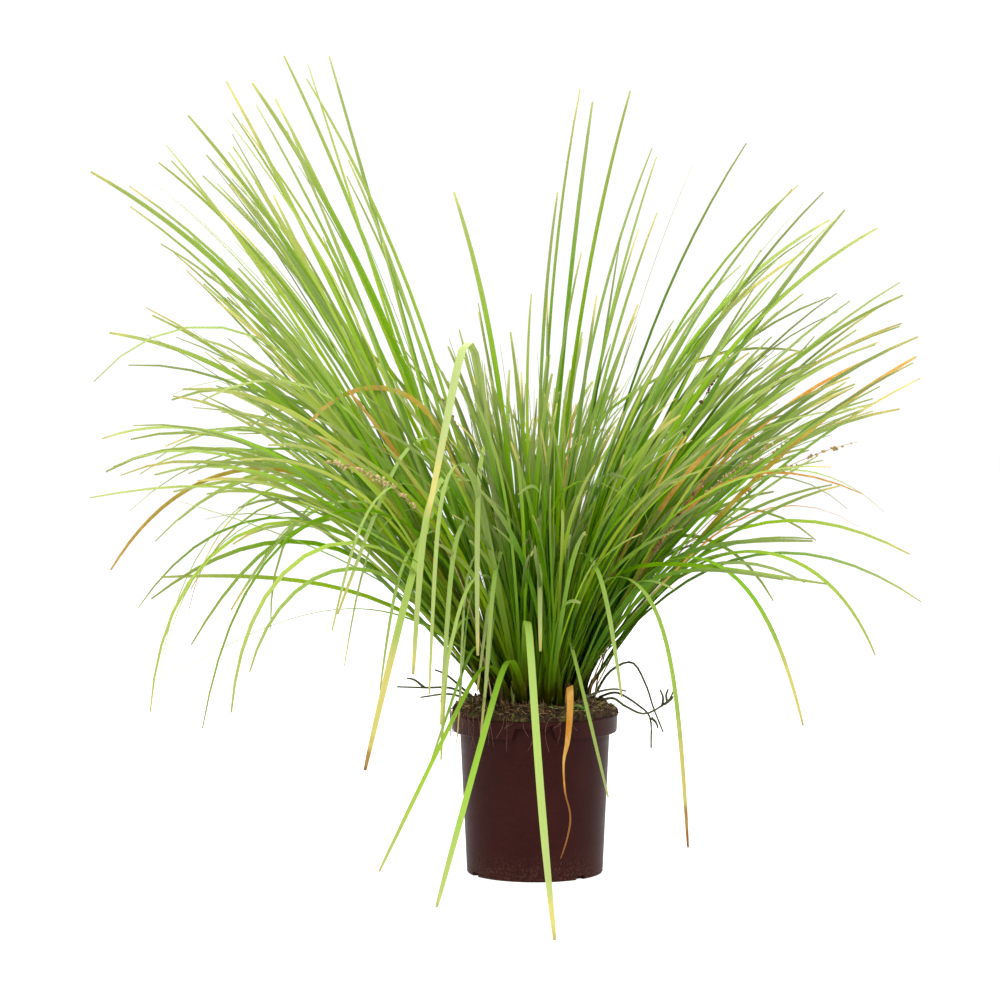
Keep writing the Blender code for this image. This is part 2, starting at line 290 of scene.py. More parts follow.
# %% Draw a section and turn it
def turn(name, section, steps):
    """Draws a section of (radius, height) points in millimetres and spins it round the Z axis."""
    deselect()
    bpy.ops.mesh.primitive_plane_add(size=1 * MM)
    piece = bpy.context.object
    piece.name = piece.data.name = name
    with edit_mode(select_all=True):
        bpy.ops.mesh.merge(type="CENTER")
        start = Vector((section[0][0], 0, section[0][1])) * MM
        bpy.ops.transform.translate(value=start)
        for (r0, z0), (r1, z1) in zip(section, section[1:]):
            step = Vector((r1 - r0, 0, z1 - z0)) * MM
            bpy.ops.mesh.extrude_vertices_move(TRANSFORM_OT_translate={"value": step})
        bpy.ops.mesh.select_all(action="SELECT")
        bpy.ops.mesh.spin(steps=steps, angle=2 * math.pi, axis=(0, 0, 1), center=(0, 0, 0))
        bpy.ops.mesh.select_all(action="SELECT")
        bpy.ops.mesh.remove_doubles(threshold=0.01 * MM)
        bpy.ops.mesh.normals_make_consistent(inside=False)
    return piece


pot_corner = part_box("pot")[1]
POT_HEIGHT = pot_corner.z / MM
RIM = pot_corner.x / MM
BAND_FOOT = POT_HEIGHT - 18.5
FOOT = 69.6
base = ((0, 0), (60, 0), (67.6, 0), (68.9, 0.4), (69.5, 1.4), (69.3, 4.4), (69.8, 5.0), (69.7, 6.0))
body = ((72.1, 56), (74.4, 104), (76.2, 141), (76.5, BAND_FOOT - 0.9), (77.2, BAND_FOOT - 0.3))
band = ((82.4, BAND_FOOT), (83.3, BAND_FOOT + 0.5), (83.7, BAND_FOOT + 1.6))
lip = (
    (RIM - 0.7, POT_HEIGHT - 3.4),
    (RIM - 0.3, POT_HEIGHT - 2.4),
    (RIM, POT_HEIGHT - 1.5),
    (RIM - 0.1, POT_HEIGHT - 0.5),
    (RIM - 0.6, POT_HEIGHT),
    (RIM - 1.3, POT_HEIGHT),
    (RIM - 1.7, POT_HEIGHT - 0.5),
)
inside = ((82.1, BAND_FOOT + 2.2), (75.4, BAND_FOOT + 1.2), (67.6, 2.4), (60, 2), (0, 2))
pot = turn("nursery_pot", base + body + band + lip + inside, 128)
print("pot", len(pot.data.vertices), "vertices")

# %% [markdown]
# ## The label recess and the drain notches
#
# At the front the lower edge of the rim band jumps up over a short stretch, where a plant label
# clips on. On the turned shape that is a matter of lifting the points along that edge. The last
# narrow column at the right is lifted first, and once more with the rest, because its edges stay
# selected: so that end slants. The foot has four notches at its edge that let water out. They are
# cut with a Boolean, because they cross the foot where no ring of points lies.


# %% Lift the edge of the band
def azimuth(point):
    """Degrees from the front, positive towards +X."""
    return math.degrees(math.atan2(point[0], -point[1]))


def lift_band(piece, first, last, rise):
    """Lifts the band's lower edge between two azimuths, and what is still selected."""
    pick(piece)
    for vertex in piece.data.vertices:
        height = vertex.co.z / MM
        in_edge = BAND_FOOT - 1.2 < height < BAND_FOOT + 2.5
        vertex.select = in_edge and first < azimuth(vertex.co) < last
    with edit_mode():
        bpy.ops.transform.translate(value=(0, 0, rise * MM))


select_parts(pot)
lift_band(pot, 9.5, 12.5, 5)
lift_band(pot, -15, 9.5, 11.5)

# %% Cut the notches in the foot
NOTCHES = (41, -61, -139, 119)
NOTCH_SIZE = Vector((9, 11, 7.6)) * MM
for place in NOTCHES:
    turn_angle = math.radians(place - 90)
    reach = (FOOT - 2.6) * MM
    deselect()
    bpy.ops.mesh.primitive_cube_add(
        size=1,
        location=(reach * math.cos(turn_angle), reach * math.sin(turn_angle), 0.2 * MM),
        rotation=(0, 0, turn_angle),
    )
    cutter = bpy.context.object
    cutter.scale = NOTCH_SIZE
    bpy.ops.object.transform_apply(location=False, rotation=False, scale=True)
    with edit_mode(select_all=True):
        bpy.ops.mesh.bevel(offset=0.8 * MM, segments=3)
    pick(pot)
    cut = pot.modifiers.new("notch", "BOOLEAN")
    cut.object = cutter
    cut.solver = "EXACT"
    bpy.ops.object.modifier_apply(modifier=cut.name)
    bpy.data.objects.remove(cutter)
pick(pot)
bpy.ops.object.shade_smooth_by_angle(angle=math.radians(32))
print("pot with notches", len(pot.data.polygons), "faces")

# %% [markdown]
# ## Burgundy plastic
#
# The pot is moulded plastic, dark burgundy brown, with a satin sheen. Up close it isn't even: the
# colour clouds a little, fine specks of dust lie on it, more of them low down, and rubbed streaks
# run round it. The gloss is broken by a fine orange-peel surface.


# %% The pot's finish
def pot_plastic():
    material, tree, shader = new_material("burgundy_plastic")
    place = add(tree, "TexCoord").outputs["Object"]
    cloud = mottled(tree, place, 22.0, 0.25)
    speck = mottled(tree, place, 420.0, 0.5)
    stretched = add(tree, "Mapping", Vector=place, Scale=(9.0, 9.0, 260.0)).outputs[0]
    rub = noise(tree, stretched, 1.0, 3.0)
    height = add(tree, "SeparateXYZ", Vector=place).outputs["Z"]
    body = blend_colours(tree, cloud, paint(38, 11, 7), paint(46, 15, 12))
    body = blend_colours(tree, times(tree, rub, 0.2), body, paint(54, 23, 26))
    low = between(tree, height, 0.035, 0.0)
    dust = times(tree, plus(tree, low, 0.10), between(tree, speck, 0.45, 0.9))
    body = blend_colours(tree, times(tree, dust, 0.3), body, paint(104, 80, 66))
    rough = plus(tree, 0.36, times(tree, rub, 0.14))
    rough = plus(tree, rough, times(tree, dust, 0.2))
    wire_up(tree, shader, place, body, rough, 0.06, (520.0, 0.22, 0.0004))
    return material


finish_piece(pot, pot_plastic(), "pot")

# %% [markdown]
# ## The potting mix
#
# The mix is a heaped mound of dark peat and coir that swells over the rim at the left, where the
# root ball stands proud. The mound is turned like the pot, divided finely, and then roughened three
# times with a Displace modifier, from lumps down to crumb. The leaning heap at the left is made by
# moving the points there outwards and up.


# %% The mound
MIX_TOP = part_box("potting_mix")[1].z / MM
in_pot = ((0, 3), (66, 3), (72.6, BAND_FOOT - 3), (73.4, POT_HEIGHT - 6), (81.2, POT_HEIGHT - 2))
over_rim = ((83.4, POT_HEIGHT + 0.8), (82.2, POT_HEIGHT + 4.0), (77, POT_HEIGHT + 7.5))
dips = ((68, 2.6), (54, 1.0), (36, 0.5), (18, 0.5), (0, 0.5))
top = tuple((radius, MIX_TOP - dip) for radius, dip in dips)
mound = turn("potting_mound", in_pot + over_rim + top, 72)
for vertex in mound.data.vertices:
    side = azimuth(vertex.co)
    heap = max(0, 1 - abs(side + 78) / 62) ** 1.3
    if vertex.co.z > (POT_HEIGHT + 2) * MM:
        vertex.co.z += heap * 3.2 * MM
        vertex.co.xy *= 1 + heap * 0.02
pick(mound)
select_parts(mound, faces=lambda face: face.center.z > (POT_HEIGHT - 8) * MM)
with edit_mode():
    bpy.ops.mesh.subdivide(number_cuts=3, smoothness=0.3)
above_rim = [v.index for v in mound.data.vertices if v.co.z > (POT_HEIGHT + 0.2) * MM]
mound.vertex_groups.new(name="above_rim").add(above_rim, 1.0, "REPLACE")
for size, strength in ((0.016, 7.0), (0.006, 4.0), (0.0025, 2.0)):
    lumps = bpy.data.textures.new(f"lumps_{size}", "CLOUDS")
    lumps.noise_scale = size
    lumps.noise_depth = 2
    rough = mound.modifiers.new("lumps", "DISPLACE")
    rough.texture = lumps
    rough.texture_coords = "LOCAL"
    rough.strength = strength * MM
    rough.mid_level = 0.5
    rough.vertex_group = "above_rim"
    bpy.ops.object.modifier_apply(modifier=rough.name)
bpy.ops.object.shade_smooth_by_angle(angle=math.radians(50))
print("mound top", round(max(v.co.z for v in mound.data.vertices), 4))

# %% [markdown]
# ## Peat, bark and moss colours
#
# Wet peat is dark, and red-brown on its crumbs, with tan fibres and green moss where it has been
# damp for long. One material does the mound and the crumbs: it mixes a dark and a light brown by a
# fine mask, and lets moss in by a wide patchy one. On the mound and the peat crumbs the dark brown
# is nearly black: partly the colour of wet peat, and partly painted shade for the hollows between
# the crumbs.


# %% The finish of the potting mix
def peat(name, moss_share, dark, light):
    material, tree, shader = new_material(name)
    place = add(tree, "TexCoord").outputs["Object"]
    crumb = mottled(tree, place, 260.0, 0.35)
    patch = mottled(tree, place, 55.0, 0.3)
    body = blend_colours(tree, crumb, paint(*dark), paint(*light))
    green = blend_colours(tree, crumb, paint(44, 52, 10), paint(98, 108, 34))
    moss = times(tree, between(tree, patch, 0.6, 0.95), moss_share)
    body = blend_colours(tree, moss, body, green)
    rough = plus(tree, 0.82, times(tree, crumb, 0.12))
    wire_up(tree, shader, place, body, rough, 0.2, (900.0, 0.7, 0.0008))
    return material


# The mound's near-black brown is partly wet peat and partly painted shade.
finish_piece(mound, peat("peat", 0.6, (6, 3, 2), (66, 46, 27)), "potting_mix")

# %% [markdown]
# ## Crumbs on the mix
#
# Close up the surface is crumbs of bark and peat from one to six millimetres, lying every way up.
# One rough crumb is modelled, from a ball of twenty faces, and set down some two thousand times.
# The copies are stretched and turned one by one in arrays of numbers and joined in one mesh,
# because two thousand objects would only slow Blender down. Each crumb is dropped on the mound by a
# ray cast from above.


# %% Drop points on the mound and join copies
def ground(x, y):
    """The height of the mound under a point, or None beside it."""
    hit, place, _, _ = mound.ray_cast(Vector((x, y, 0.3)), Vector((0, 0, -1)))
    return place.z if hit and place.z > (POT_HEIGHT - 4) * MM else None


def joined(name, points, faces, material, node, smooth=True):
    """One mesh from the arrays of many copies: (copy, point, 3) and the faces of one copy."""
    copies, count, _ = points.shape
    firsts = range(0, copies * count, count)
    corners = [tuple(corner + first for corner in face) for first in firsts for face in faces]
    mesh = bpy.data.meshes.new(name)
    mesh.from_pydata(points.reshape(-1, 3).tolist(), [], corners)
    piece = bpy.data.objects.new(name, mesh)
    bpy.context.scene.collection.objects.link(piece)
    if smooth:
        mesh.shade_smooth()
    finish_piece(piece, material, node)
    return piece


def model_points(piece):
    flat = np.empty(len(piece.data.vertices) * 3)
    piece.data.vertices.foreach_get("co", flat)
    return flat.reshape(-1, 3), [tuple(polygon.vertices) for polygon in piece.data.polygons]


def random_turns(count):
    """Random rotation matrices."""
    quaternions = rng.normal(size=(count, 4))
    quaternions /= np.linalg.norm(quaternions, axis=1)[:, None]
    w, x, y, z = quaternions.T
    rows = [
        [1 - 2 * (y * y + z * z), 2 * (x * y - z * w), 2 * (x * z + y * w)],
        [2 * (x * y + z * w), 1 - 2 * (x * x + z * z), 2 * (y * z - x * w)],
        [2 * (x * z - y * w), 2 * (y * z + x * w), 1 - 2 * (x * x + y * y)],
    ]
    return np.array(rows).transpose(2, 0, 1)


def scatter(count, widest, lift):
    """Random places on the mound, lifted a little."""
    places = []
    while len(places) < count:
        radius = widest * math.sqrt(rng.random()) * MM
        angle = math.radians(rng.uniform(-180, 180))
        x, y = radius * math.sin(angle), -radius * math.cos(angle)
        height = ground(x, y)
        if height is not None:
            places.append((x, y, height + lift * MM))
    return np.array(places)


# %% One crumb, set down many times
deselect()
bpy.ops.mesh.primitive_ico_sphere_add(subdivisions=1, radius=1)
crumb = bpy.context.object
with edit_mode(select_all=True):
    bpy.ops.transform.vertex_random(offset=0.22, seed=4)
crumb_points, crumb_faces = model_points(crumb)
bpy.data.objects.remove(crumb)


def strew(name, count, widest, sizes, flatness, material):
    """Sets many crumbs down, each with its own length, width and thickness."""
    places = scatter(count, widest, 0.3)
    size = rng.uniform(*sizes, (count, 1, 1))
    shape = [rng.uniform(*limits, count) for limits in ((0.6, 1.5), (0.6, 1.1), flatness)]
    points = crumb_points[None] * np.stack(shape, axis=1)[:, None] * size * MM
    points = np.einsum("nij,nkj->nki", random_turns(count), points) + places[:, None]
    joined(name, points, crumb_faces, material, "potting_mix", smooth=False)


STREWN = (  # name, how many, how wide, sizes, flatness; finish, share of moss, dark, light
    # The peat crumbs' near-black brown is partly painted shade as well.
    ("peat_crumbs", 1500, 83, (0.5, 1.6), (0.4, 0.9), "peat_crumb", 0.35, (8, 4, 2), (100, 74, 46)),
    ("moss_tufts", 420, 82, (0.5, 1.5), (0.6, 1.0), "moss", 1.0, (40, 46, 10), (98, 108, 32)),
    ("bark_chips", 260, 82, (1.3, 3.2), (0.2, 0.5), "bark_chip", 0.1, (34, 19, 10), (104, 72, 44)),
)
for row in STREWN:
    strew(*row[:5], peat(*row[5:]))

# %% [markdown]
# ## Fibres and root hairs
#
# Coir fibres lie criss-cross in the mix and curl out of it, and fine pale roots hang over the rim
# of the pot. All of them are thin round rods along a curved path. A rod needs only four sides at
# this size. One function lays rods along many paths at once, with a radius for each point of the
# path, and the stems and flower stalks further on use it too.


# %% Rods along paths
def rods(paths, radii, sides=4):
    """Closed rods: paths is (rod, point, 3) in metres, radii is (rod, point) or (point,)."""
    count, length, _ = paths.shape
    along = np.gradient(paths, axis=1)
    along /= np.linalg.norm(along, axis=2, keepdims=True) + 1e-12
    reference = np.where(np.abs(along[:, :1, 2:3]) > 0.8, [[[1.0, 0, 0]]], [[[0, 0, 1.0]]])
    first = np.cross(along, np.broadcast_to(reference, along.shape))
    first /= np.linalg.norm(first, axis=2, keepdims=True) + 1e-12
    second = np.cross(along, first)
    turns = np.arange(sides) * 2 * math.pi / sides
    ring = (
        first[:, :, None] * np.cos(turns)[None, None, :, None]
        + second[:, :, None] * np.sin(turns)[None, None, :, None]
    )
    radii = np.broadcast_to(radii, (count, length))
    points = paths[:, :, None] + ring * radii[:, :, None, None]
    faces = []
    for step in range(length - 1):
        for side in range(sides):
            a, b = step * sides + side, step * sides + (side + 1) % sides
            faces.append((a, b, b + sides, a + sides))
    faces.append(tuple(range(sides))[::-1])
    faces.append(tuple((length - 1) * sides + side for side in range(sides)))
    return points.reshape(count, length * sides, 3), faces


def curled_paths(starts, lengths, wander, points, flat):
    """Random walks: flat near 1 keeps them lying, and wander is their turning in radians."""
    count = len(starts)
    heading = rng.uniform(0, 2 * math.pi, count)
    pitch = rng.normal(0.15, 0.35, count) * (1 - flat)
    bend, dip = rng.normal(0, wander, count), rng.normal(-0.1, wander * 0.4, count)
    here, path = starts.copy(), [starts.copy()]
    for _ in range(points - 1):
        level = np.cos(pitch)
        step = [np.cos(heading) * level, np.sin(heading) * level, np.sin(pitch)]
        here = here + np.stack(step, axis=1) * (lengths / (points - 1))[:, None]
        path.append(here.copy())
        heading = heading + bend / points * 2 + rng.normal(0, 0.25, count)
        pitch = pitch + dip / points * 2
    return np.stack(path, axis=1)


# %% The finish of fibres, roots and stems
def fibre(name, dark, light, roughness=0.75):
    material, tree, shader = new_material(name)
    place = add(tree, "TexCoord").outputs["Object"]
    patch = mottled(tree, place, 150.0, 0.4)
    colour = blend_colours(tree, patch, paint(*dark), paint(*light))
    rough = plus(tree, roughness, times(tree, patch, 0.12))
    wire_up(tree, shader, place, colour, rough, 0.3, (700.0, 0.4, 0.0003))
    return material


coir = fibre("coir", (80, 52, 30), (212, 178, 126))
starts = scatter(1100, 82, 0.5)
paths = curled_paths(starts, rng.uniform(5, 17, len(starts)) * MM, 2.2, 8, 0.75)
points, faces = rods(paths, np.linspace(0.22, 0.10, 8) * MM)
joined("coir_fibres", points, faces, coir, "potting_mix")

# %% Root hairs hanging over the rim
hair = fibre("root_hair", (74, 46, 34), (138, 98, 74), 0.6)
hangings = []
for middle, spread, count in ((-66, 16, 46), (-22, 12, 6), (8, 8, 2), (40, 14, 3), (160, 60, 14)):
    for _ in range(count):
        side = math.radians(middle + rng.normal(0, spread))
        out = np.array([math.sin(side), -math.cos(side), 0])
        across = np.array([math.cos(side), math.sin(side), 0])
        drop = rng.uniform(8, 34)
        drift = rng.normal(0, 6)
        bow = rng.normal(0, 5)
        path = []
        for t in np.linspace(0, 1, 10):
            fall = max(0, t - 0.28) / 0.72
            radius = 78 + 8.6 * min(1, t / 0.3) - 1.0 * fall * (1 - fall)
            height = POT_HEIGHT + 3 + 1.5 * math.sin(t * 6) * (1 - fall) - drop * fall**1.2
            slide = drift * t + bow * math.sin(t * math.pi)
            path.append(out * radius + across * slide + np.array([0, 0, height]))
        hangings.append(path)
points, faces = rods(np.array(hangings) * MM, np.linspace(0.28, 0.12, 10) * MM)
joined("root_hairs", points, faces, hair, "potting_mix")

# %% [markdown]
# ## One strap leaf
#
# A leaf is a strap three to six millimetres wide and half a millimetre thick, gently folded along
# its middle, so it has a channel above and a keel below. It is modelled straight and one unit long:
# a cylinder is flattened, its middle is pressed down, and its long edges are divided into rings so
# that it can bend. There are two: a fine one for the leaves that stand clear, and one of a few
# dozen faces for the hundreds that fill the clump. All the leaves are one of these, bent and
# scaled.


# %% Model a strap
def press(piece, chosen, shift):
    """Moves the chosen points of a piece in edit mode."""
    pick(piece)
    select_parts(piece, points=lambda point: chosen(point.co))
    with edit_mode():
        bpy.ops.transform.translate(value=shift)


def model_strap(name, sides, rings):
    """A straight strap: its points, its faces, and a place on a map for each face corner."""
    deselect()
    bpy.ops.mesh.primitive_cylinder_add(vertices=sides, radius=0.5, depth=1, location=(0, 0, 0.5))
    piece = bpy.context.object
    bpy.ops.object.transform_apply(location=True)

    def upright(edge):
        low, high = (piece.data.vertices[i].co for i in edge.vertices)
        return abs(low.z - high.z) > 0.5

    select_parts(piece, edges=upright)
    with edit_mode():
        bpy.ops.mesh.select_mode(type="EDGE")
        bpy.ops.mesh.subdivide(number_cuts=rings - 2)
        bpy.ops.mesh.select_mode(type="VERT")
        bpy.ops.mesh.select_all(action="SELECT")
        bpy.ops.transform.resize(value=(1, 0.07, 1))
    press(piece, lambda p: abs(p.x) < 0.01 and p.y < -0.03, (0, -0.06, 0))
    press(piece, lambda p: abs(p.x) < 0.01 and p.y > 0, (0, -0.075, 0))
    press(piece, lambda p: 0.3 < abs(p.x) < 0.4, (0, -0.012, 0))
    points, faces = model_points(piece)
    bpy.data.objects.remove(piece)
    print(name, len(points), "points", len(faces), "faces")
    return {"points": points, "faces": faces, "rings": rings, "map": strap_map(points, faces)}


def strap_map(points, faces):
    """Where each face corner goes in a unit square: the sides unrolled, with one end above."""
    places = []
    for face in faces:
        if abs(points[face[0]][2] - points[face[2]][2]) < 0.001:
            end = 0.995 if points[face[0]][2] > 0.5 else 0.005
            places += [(0.1 + 0.8 * k / len(face), end + 0.003 * (k % 2)) for k in range(len(face))]
            continue
        turns = [math.atan2(points[i][1] + 0.05, points[i][0]) / (2 * math.pi) % 1 for i in face]
        if max(turns) - min(turns) > 0.5:
            turns = [part + 1 if part < 0.5 else part for part in turns]
        places += [(0.04 + 0.8 * t, 0.015 + 0.97 * points[i][2]) for t, i in zip(turns, face)]
    return np.array(places)


fine_strap = model_strap("fine strap", 8, 34)
plain_strap = model_strap("plain strap", 4, 18)

# %% [markdown]
# ## How a leaf stands
#
# A leaf is described as a gardener would see it: where it heads, how far it leans where it leaves
# its sheath, how many degrees it droops on the way to its tip, and where along it the droop comes.
# A low bend makes it fold over and hang, and a high one gives an even arch. From these the middle
# line of the leaf is added up in short steps, and the strap's points are set out around it.


# %% Bend a strap along a leaf's middle line
SHEATH = 16.0
FINE = 5
DEFAULTS = {
    "power": 1.8,
    "bend": 2.0,
    "width": 5.6,
    "sweep": 0.0,
    "roll": 0.0,
    "twist": 0.0,
    "tone": 0.5,
    "dry": 0.97,
    # pale: the share of painted sheen, a whitish green that stands for light glancing off the leaf
    "pale": 0.0,
    "amber": 0.0,
}


def leaf(heading, lean, droop, length, **more):
    """A leaf: degrees from +X, degrees from upright, degrees gained by the tip, and millimetres."""
    return {**DEFAULTS, "heading": heading, "lean": lean, "droop": droop, "length": length, **more}


def middle_line(one, rings):
    """Points and directions at the strap's rings, in millimetres from the top of the sheath."""
    steps = (rings - 1) * FINE
    s = (np.arange(steps) + 0.5) / steps
    turn = one["bend"] ** one["power"]
    rise = s ** one["power"]
    tilt = np.radians(one["lean"] + one["droop"] * rise * (1 + turn) / (rise + turn))
    heading = np.radians(one["heading"] + one["sweep"] * s**1.5)
    direction = np.stack(
        [np.sin(tilt) * np.cos(heading), np.sin(tilt) * np.sin(heading), np.cos(tilt)], axis=1
    )
    walked = np.vstack([np.zeros(3), np.cumsum(direction, axis=0) * one["length"] / steps])
    places = np.linspace(-SHEATH, one["length"], rings)
    where = np.linspace(0, one["length"], steps + 1)
    line = np.stack([np.interp(places, where, walked[:, axis]) for axis in range(3)], axis=1)
    below = places < 0
    line[below] = np.outer(places[below], direction[0] * 0.5 + np.array([0, 0, 0.5]))
    return line


def strap_width(along):
    """Share of the full width: a narrower foot, a long even middle and a blunt point."""
    foot = 0.8 + 0.2 * np.clip(along / 0.2, 0, 1)
    tip = np.clip((1 - along) / 0.22, 0, 1) ** 0.55
    return foot * (0.42 + 0.58 * tip)


def ribbon(strap, line, side, roll, width):
    """The strap's points around a line, in millimetres: side, roll and width go ring by ring."""
    tangent = np.gradient(line, axis=0)
    tangent /= np.linalg.norm(tangent, axis=1, keepdims=True)
    upper = np.cross(tangent, side)
    across = side * np.cos(roll)[:, None] + upper * np.sin(roll)[:, None]
    above = np.cross(tangent, across)
    along = np.linspace(0, 1, strap["rings"])
    thick = np.maximum(width, 2.2) * (1.0 + 0.5 * np.clip(1 - along * 14, 0, 1))
    ring = np.rint(strap["points"][:, 2] * (strap["rings"] - 1)).astype(int)
    return (
        line[ring]
        + across[ring] * (strap["points"][:, 0] * width[ring])[:, None]
        + above[ring] * (strap["points"][:, 1] * thick[ring])[:, None]
    )


def bent_strap(strap, one, foot):
    """A strap bent into a leaf that stands at a foot, in metres."""
    along = np.linspace(0, 1, strap["rings"])
    heading = np.radians(one["heading"] + one["sweep"] * along**1.5)
    side = np.stack([-np.sin(heading), np.cos(heading), np.zeros(len(along))], axis=1)
    roll = np.radians(one["roll"] * np.clip(along * 3, 0, 1) + one["twist"] * along)
    width = strap_width(along) * one["width"]
    points = ribbon(strap, middle_line(one, strap["rings"]), side, roll, width)
    return points * MM + np.array(foot) + np.array([0, 0, SHEATH * MM])


tallest = middle_line(leaf(180, 15, 11, 675, power=2), fine_strap["rings"])
print("the tallest leaf rises", round(tallest[-1, 2] + SHEATH), "mm above the mix")

# %% [markdown]
# ## From one leaf to a tuft
#
# All the leaves of a tuft are joined in one mesh. The finish has to know where on its leaf each
# point is and what kind of leaf it is on, so these numbers are kept with the mesh as attributes:
# the share along and across the leaf, its own tone of green, where its tip turns dry, how pale a
# painted sheen makes it, and how far it has died. A UV map lays the straps side by side, so that a
# texture baked from the finish has room for every leaf.


# %% Join bent straps and keep their numbers
def keep_numbers(piece, strap, leaves):
    """Stores what the finish needs at each point, and lays the straps out side by side on a map."""
    count = len(leaves)
    numbers = {
        "along": np.tile(strap["points"][:, 2], count),
        "across": np.tile(strap["points"][:, 0] * 2, count),
        "upper": np.tile((strap["points"][:, 1] > -0.045) * 1.0, count),
    }
    for key in ("tone", "dry", "pale", "amber"):
        numbers[key] = np.repeat([one[key] for one in leaves], len(strap["points"]))
    for key, values in numbers.items():
        attribute = piece.data.attributes.new(key, "FLOAT", "POINT")
        attribute.data.foreach_set("value", values.astype(np.float32))
    places = np.tile(strap["map"], (count, 1, 1))
    places[:, :, 0] = (places[:, :, 0] + np.arange(count)[:, None]) / (count + 0.3)
    layer = piece.data.uv_layers.new(name="OFBake")
    layer.data.foreach_set("uv", places.ravel().astype(np.float32))


LOWEST, HIGHEST = (np.array(corner) for corner in cad_box)
OVERHANG = 10 * MM
SHORTER = 0.97
FLOOR_GAP = 2 * MM


def fitted(strap, one, foot):
    """A leaf bent into place, and shortened until it ends inside the clump's round outline."""
    middle, half = (LOWEST + HIGHEST)[:2] / 2, (HIGHEST - LOWEST)[:2] / 2 + OVERHANG
    while True:
        points = bent_strap(strap, one, foot)
        outline = (((points[:, :2] - middle) / half) ** 2).sum(axis=1).max()
        if outline < 1 and points[:, 2].max() < HIGHEST[2] + OVERHANG:
            return points
        one = {**one, "length": one["length"] * SHORTER}


def tuft(name, strap, leaves, feet, material, node):
    """One piece from leaves and their feet, with no leaf lower than just above the floor."""
    points = np.stack([fitted(strap, one, foot) for one, foot in zip(leaves, feet)])
    points[:, :, 2] = np.maximum(points[:, :, 2], FLOOR_GAP)
    piece = joined(name, points, strap["faces"], material, node)
    keep_numbers(piece, strap, leaves)


# %% [markdown]
# ## Leaf colours
#
# The leaf is a deep green ribbon near its sheath and turns yellow-green towards the tip, where it
# dries to straw and at last to brown. Its foot is a chestnut sheath, and the green above it is
# painted darker towards the foot, as painted shade deep in the clump. Its outer part is painted
# paler and greyer, as painted sheen. Young leaves are brighter, and some are painted pale over most
# of their length, a painted sheen where light glances off them. A dying leaf, with amber up to 1,
# turns orange in its outer part, and at 2 it is orange from foot to tip. Fine veins run its whole
# length, which show as faint lines in the colour and as tiny ridges that catch the light. A leaf is
# thin enough to let light through, and that light comes out yellower.


# %% The finish of the leaves
def leaf_finish(name):
    material, tree, shader = new_material(name)
    along, across, upper, tone, dry, pale, amber = (
        add(tree, "Attribute", {"attribute_name": key}).outputs["Fac"]
        for key in ("along", "across", "upper", "tone", "dry", "pale", "amber")
    )
    place = add(tree, "TexCoord").outputs["Object"]
    patch = mottled(tree, place, 30.0, 0.35)
    greens = (
        (0.0, paint(52, 106, 0)),
        (0.3, paint(96, 158, 0)),
        (0.6, paint(138, 188, 0)),
        (0.85, paint(168, 198, 28)),
        (1.0, paint(196, 212, 84)),
    )
    # Along the leaf: a chestnut sheath at the foot, then painted shade that darkens the lower leaf
    # and fades out towards the tip.
    sheath_and_shade_ramp = (
        (0.0, paint(70, 34, 20)),
        (0.05, paint(96, 62, 28)),
        (0.12, paint(150, 164, 60)),
        (0.3, paint(210, 222, 140)),
        (0.65, paint(255, 255, 255)),
    )
    green = ramp(tree, tone, greens)
    green = blend_colours(tree, 1.0, green, ramp(tree, along, sheath_and_shade_ramp), "MULTIPLY")
    green = blend_colours(tree, times(tree, patch, 0.18), green, paint(164, 184, 6))
    # Painted sheen: the outer part of each leaf is blended towards a pale grey-green.
    far = times(tree, between(tree, along, 0.56, 1.0), 0.66)
    green = blend_colours(tree, far, green, paint(180, 176, 124))
    # Painted sheen: leaves with a pale number are blended towards a whitish green over most of
    # their length.
    painted_sheen = times(tree, pale, between(tree, along, 0.08, 0.5))
    green = blend_colours(tree, painted_sheen, green, paint(186, 198, 138))
    under = times(tree, maths(tree, "SUBTRACT", 1.0, upper), 0.14)
    green = blend_colours(tree, under, green, paint(170, 198, 30))
    ribs = maths(tree, "SINE", times(tree, across, 24.0))
    lines = times(tree, plus(tree, times(tree, ribs, 0.5), 0.5), 0.14)
    green = blend_colours(tree, lines, green, paint(54, 92, 0))
    wave = noise(tree, place, 60.0, 2.0)
    edge = plus(tree, along, times(tree, maths(tree, "SUBTRACT", wave, 0.5), 0.12))
    straw = between(tree, edge, maths(tree, "SUBTRACT", dry, 0.10), dry)
    brown = between(tree, edge, plus(tree, dry, 0.09), plus(tree, dry, 0.17))
    dead = blend_colours(tree, patch, paint(206, 138, 48), paint(226, 184, 104))
    colour = blend_colours(tree, straw, green, paint(204, 194, 120))
    whole = maths(tree, "SUBTRACT", amber, 1.0, clamp=True)
    outer = times(tree, amber, between(tree, edge, 0.22, 0.6))
    colour = blend_colours(tree, maths(tree, "ADD", whole, outer, clamp=True), colour, dead)
    colour = blend_colours(tree, brown, colour, paint(160, 104, 56))
    tree.links.new(colour, shader.inputs["Base Color"])
    rough = plus(tree, 0.40, times(tree, patch, 0.16))
    rough = plus(tree, rough, times(tree, straw, 0.15))
    tree.links.new(rough, shader.inputs["Roughness"])
    shader.inputs["Specular IOR Level"].default_value = 0.07
    bump = add(tree, "Bump", Height=ribs, Strength=0.25, Distance=0.00002)
    tree.links.new(bump.outputs[0], shader.inputs["Normal"])
    glow = blend_colours(tree, 0.3, colour, paint(176, 200, 0))
    through = add(tree, "BsdfTranslucent", Color=glow)
    mixed = add(tree, "MixShader", in0=0.4, in1=shader.outputs[0], in2=through.outputs[0])
    tree.links.new(mixed.outputs[0], tree.nodes["Material Output"].inputs["Surface"])
    return material


green_leaf = leaf_finish("green_leaf")

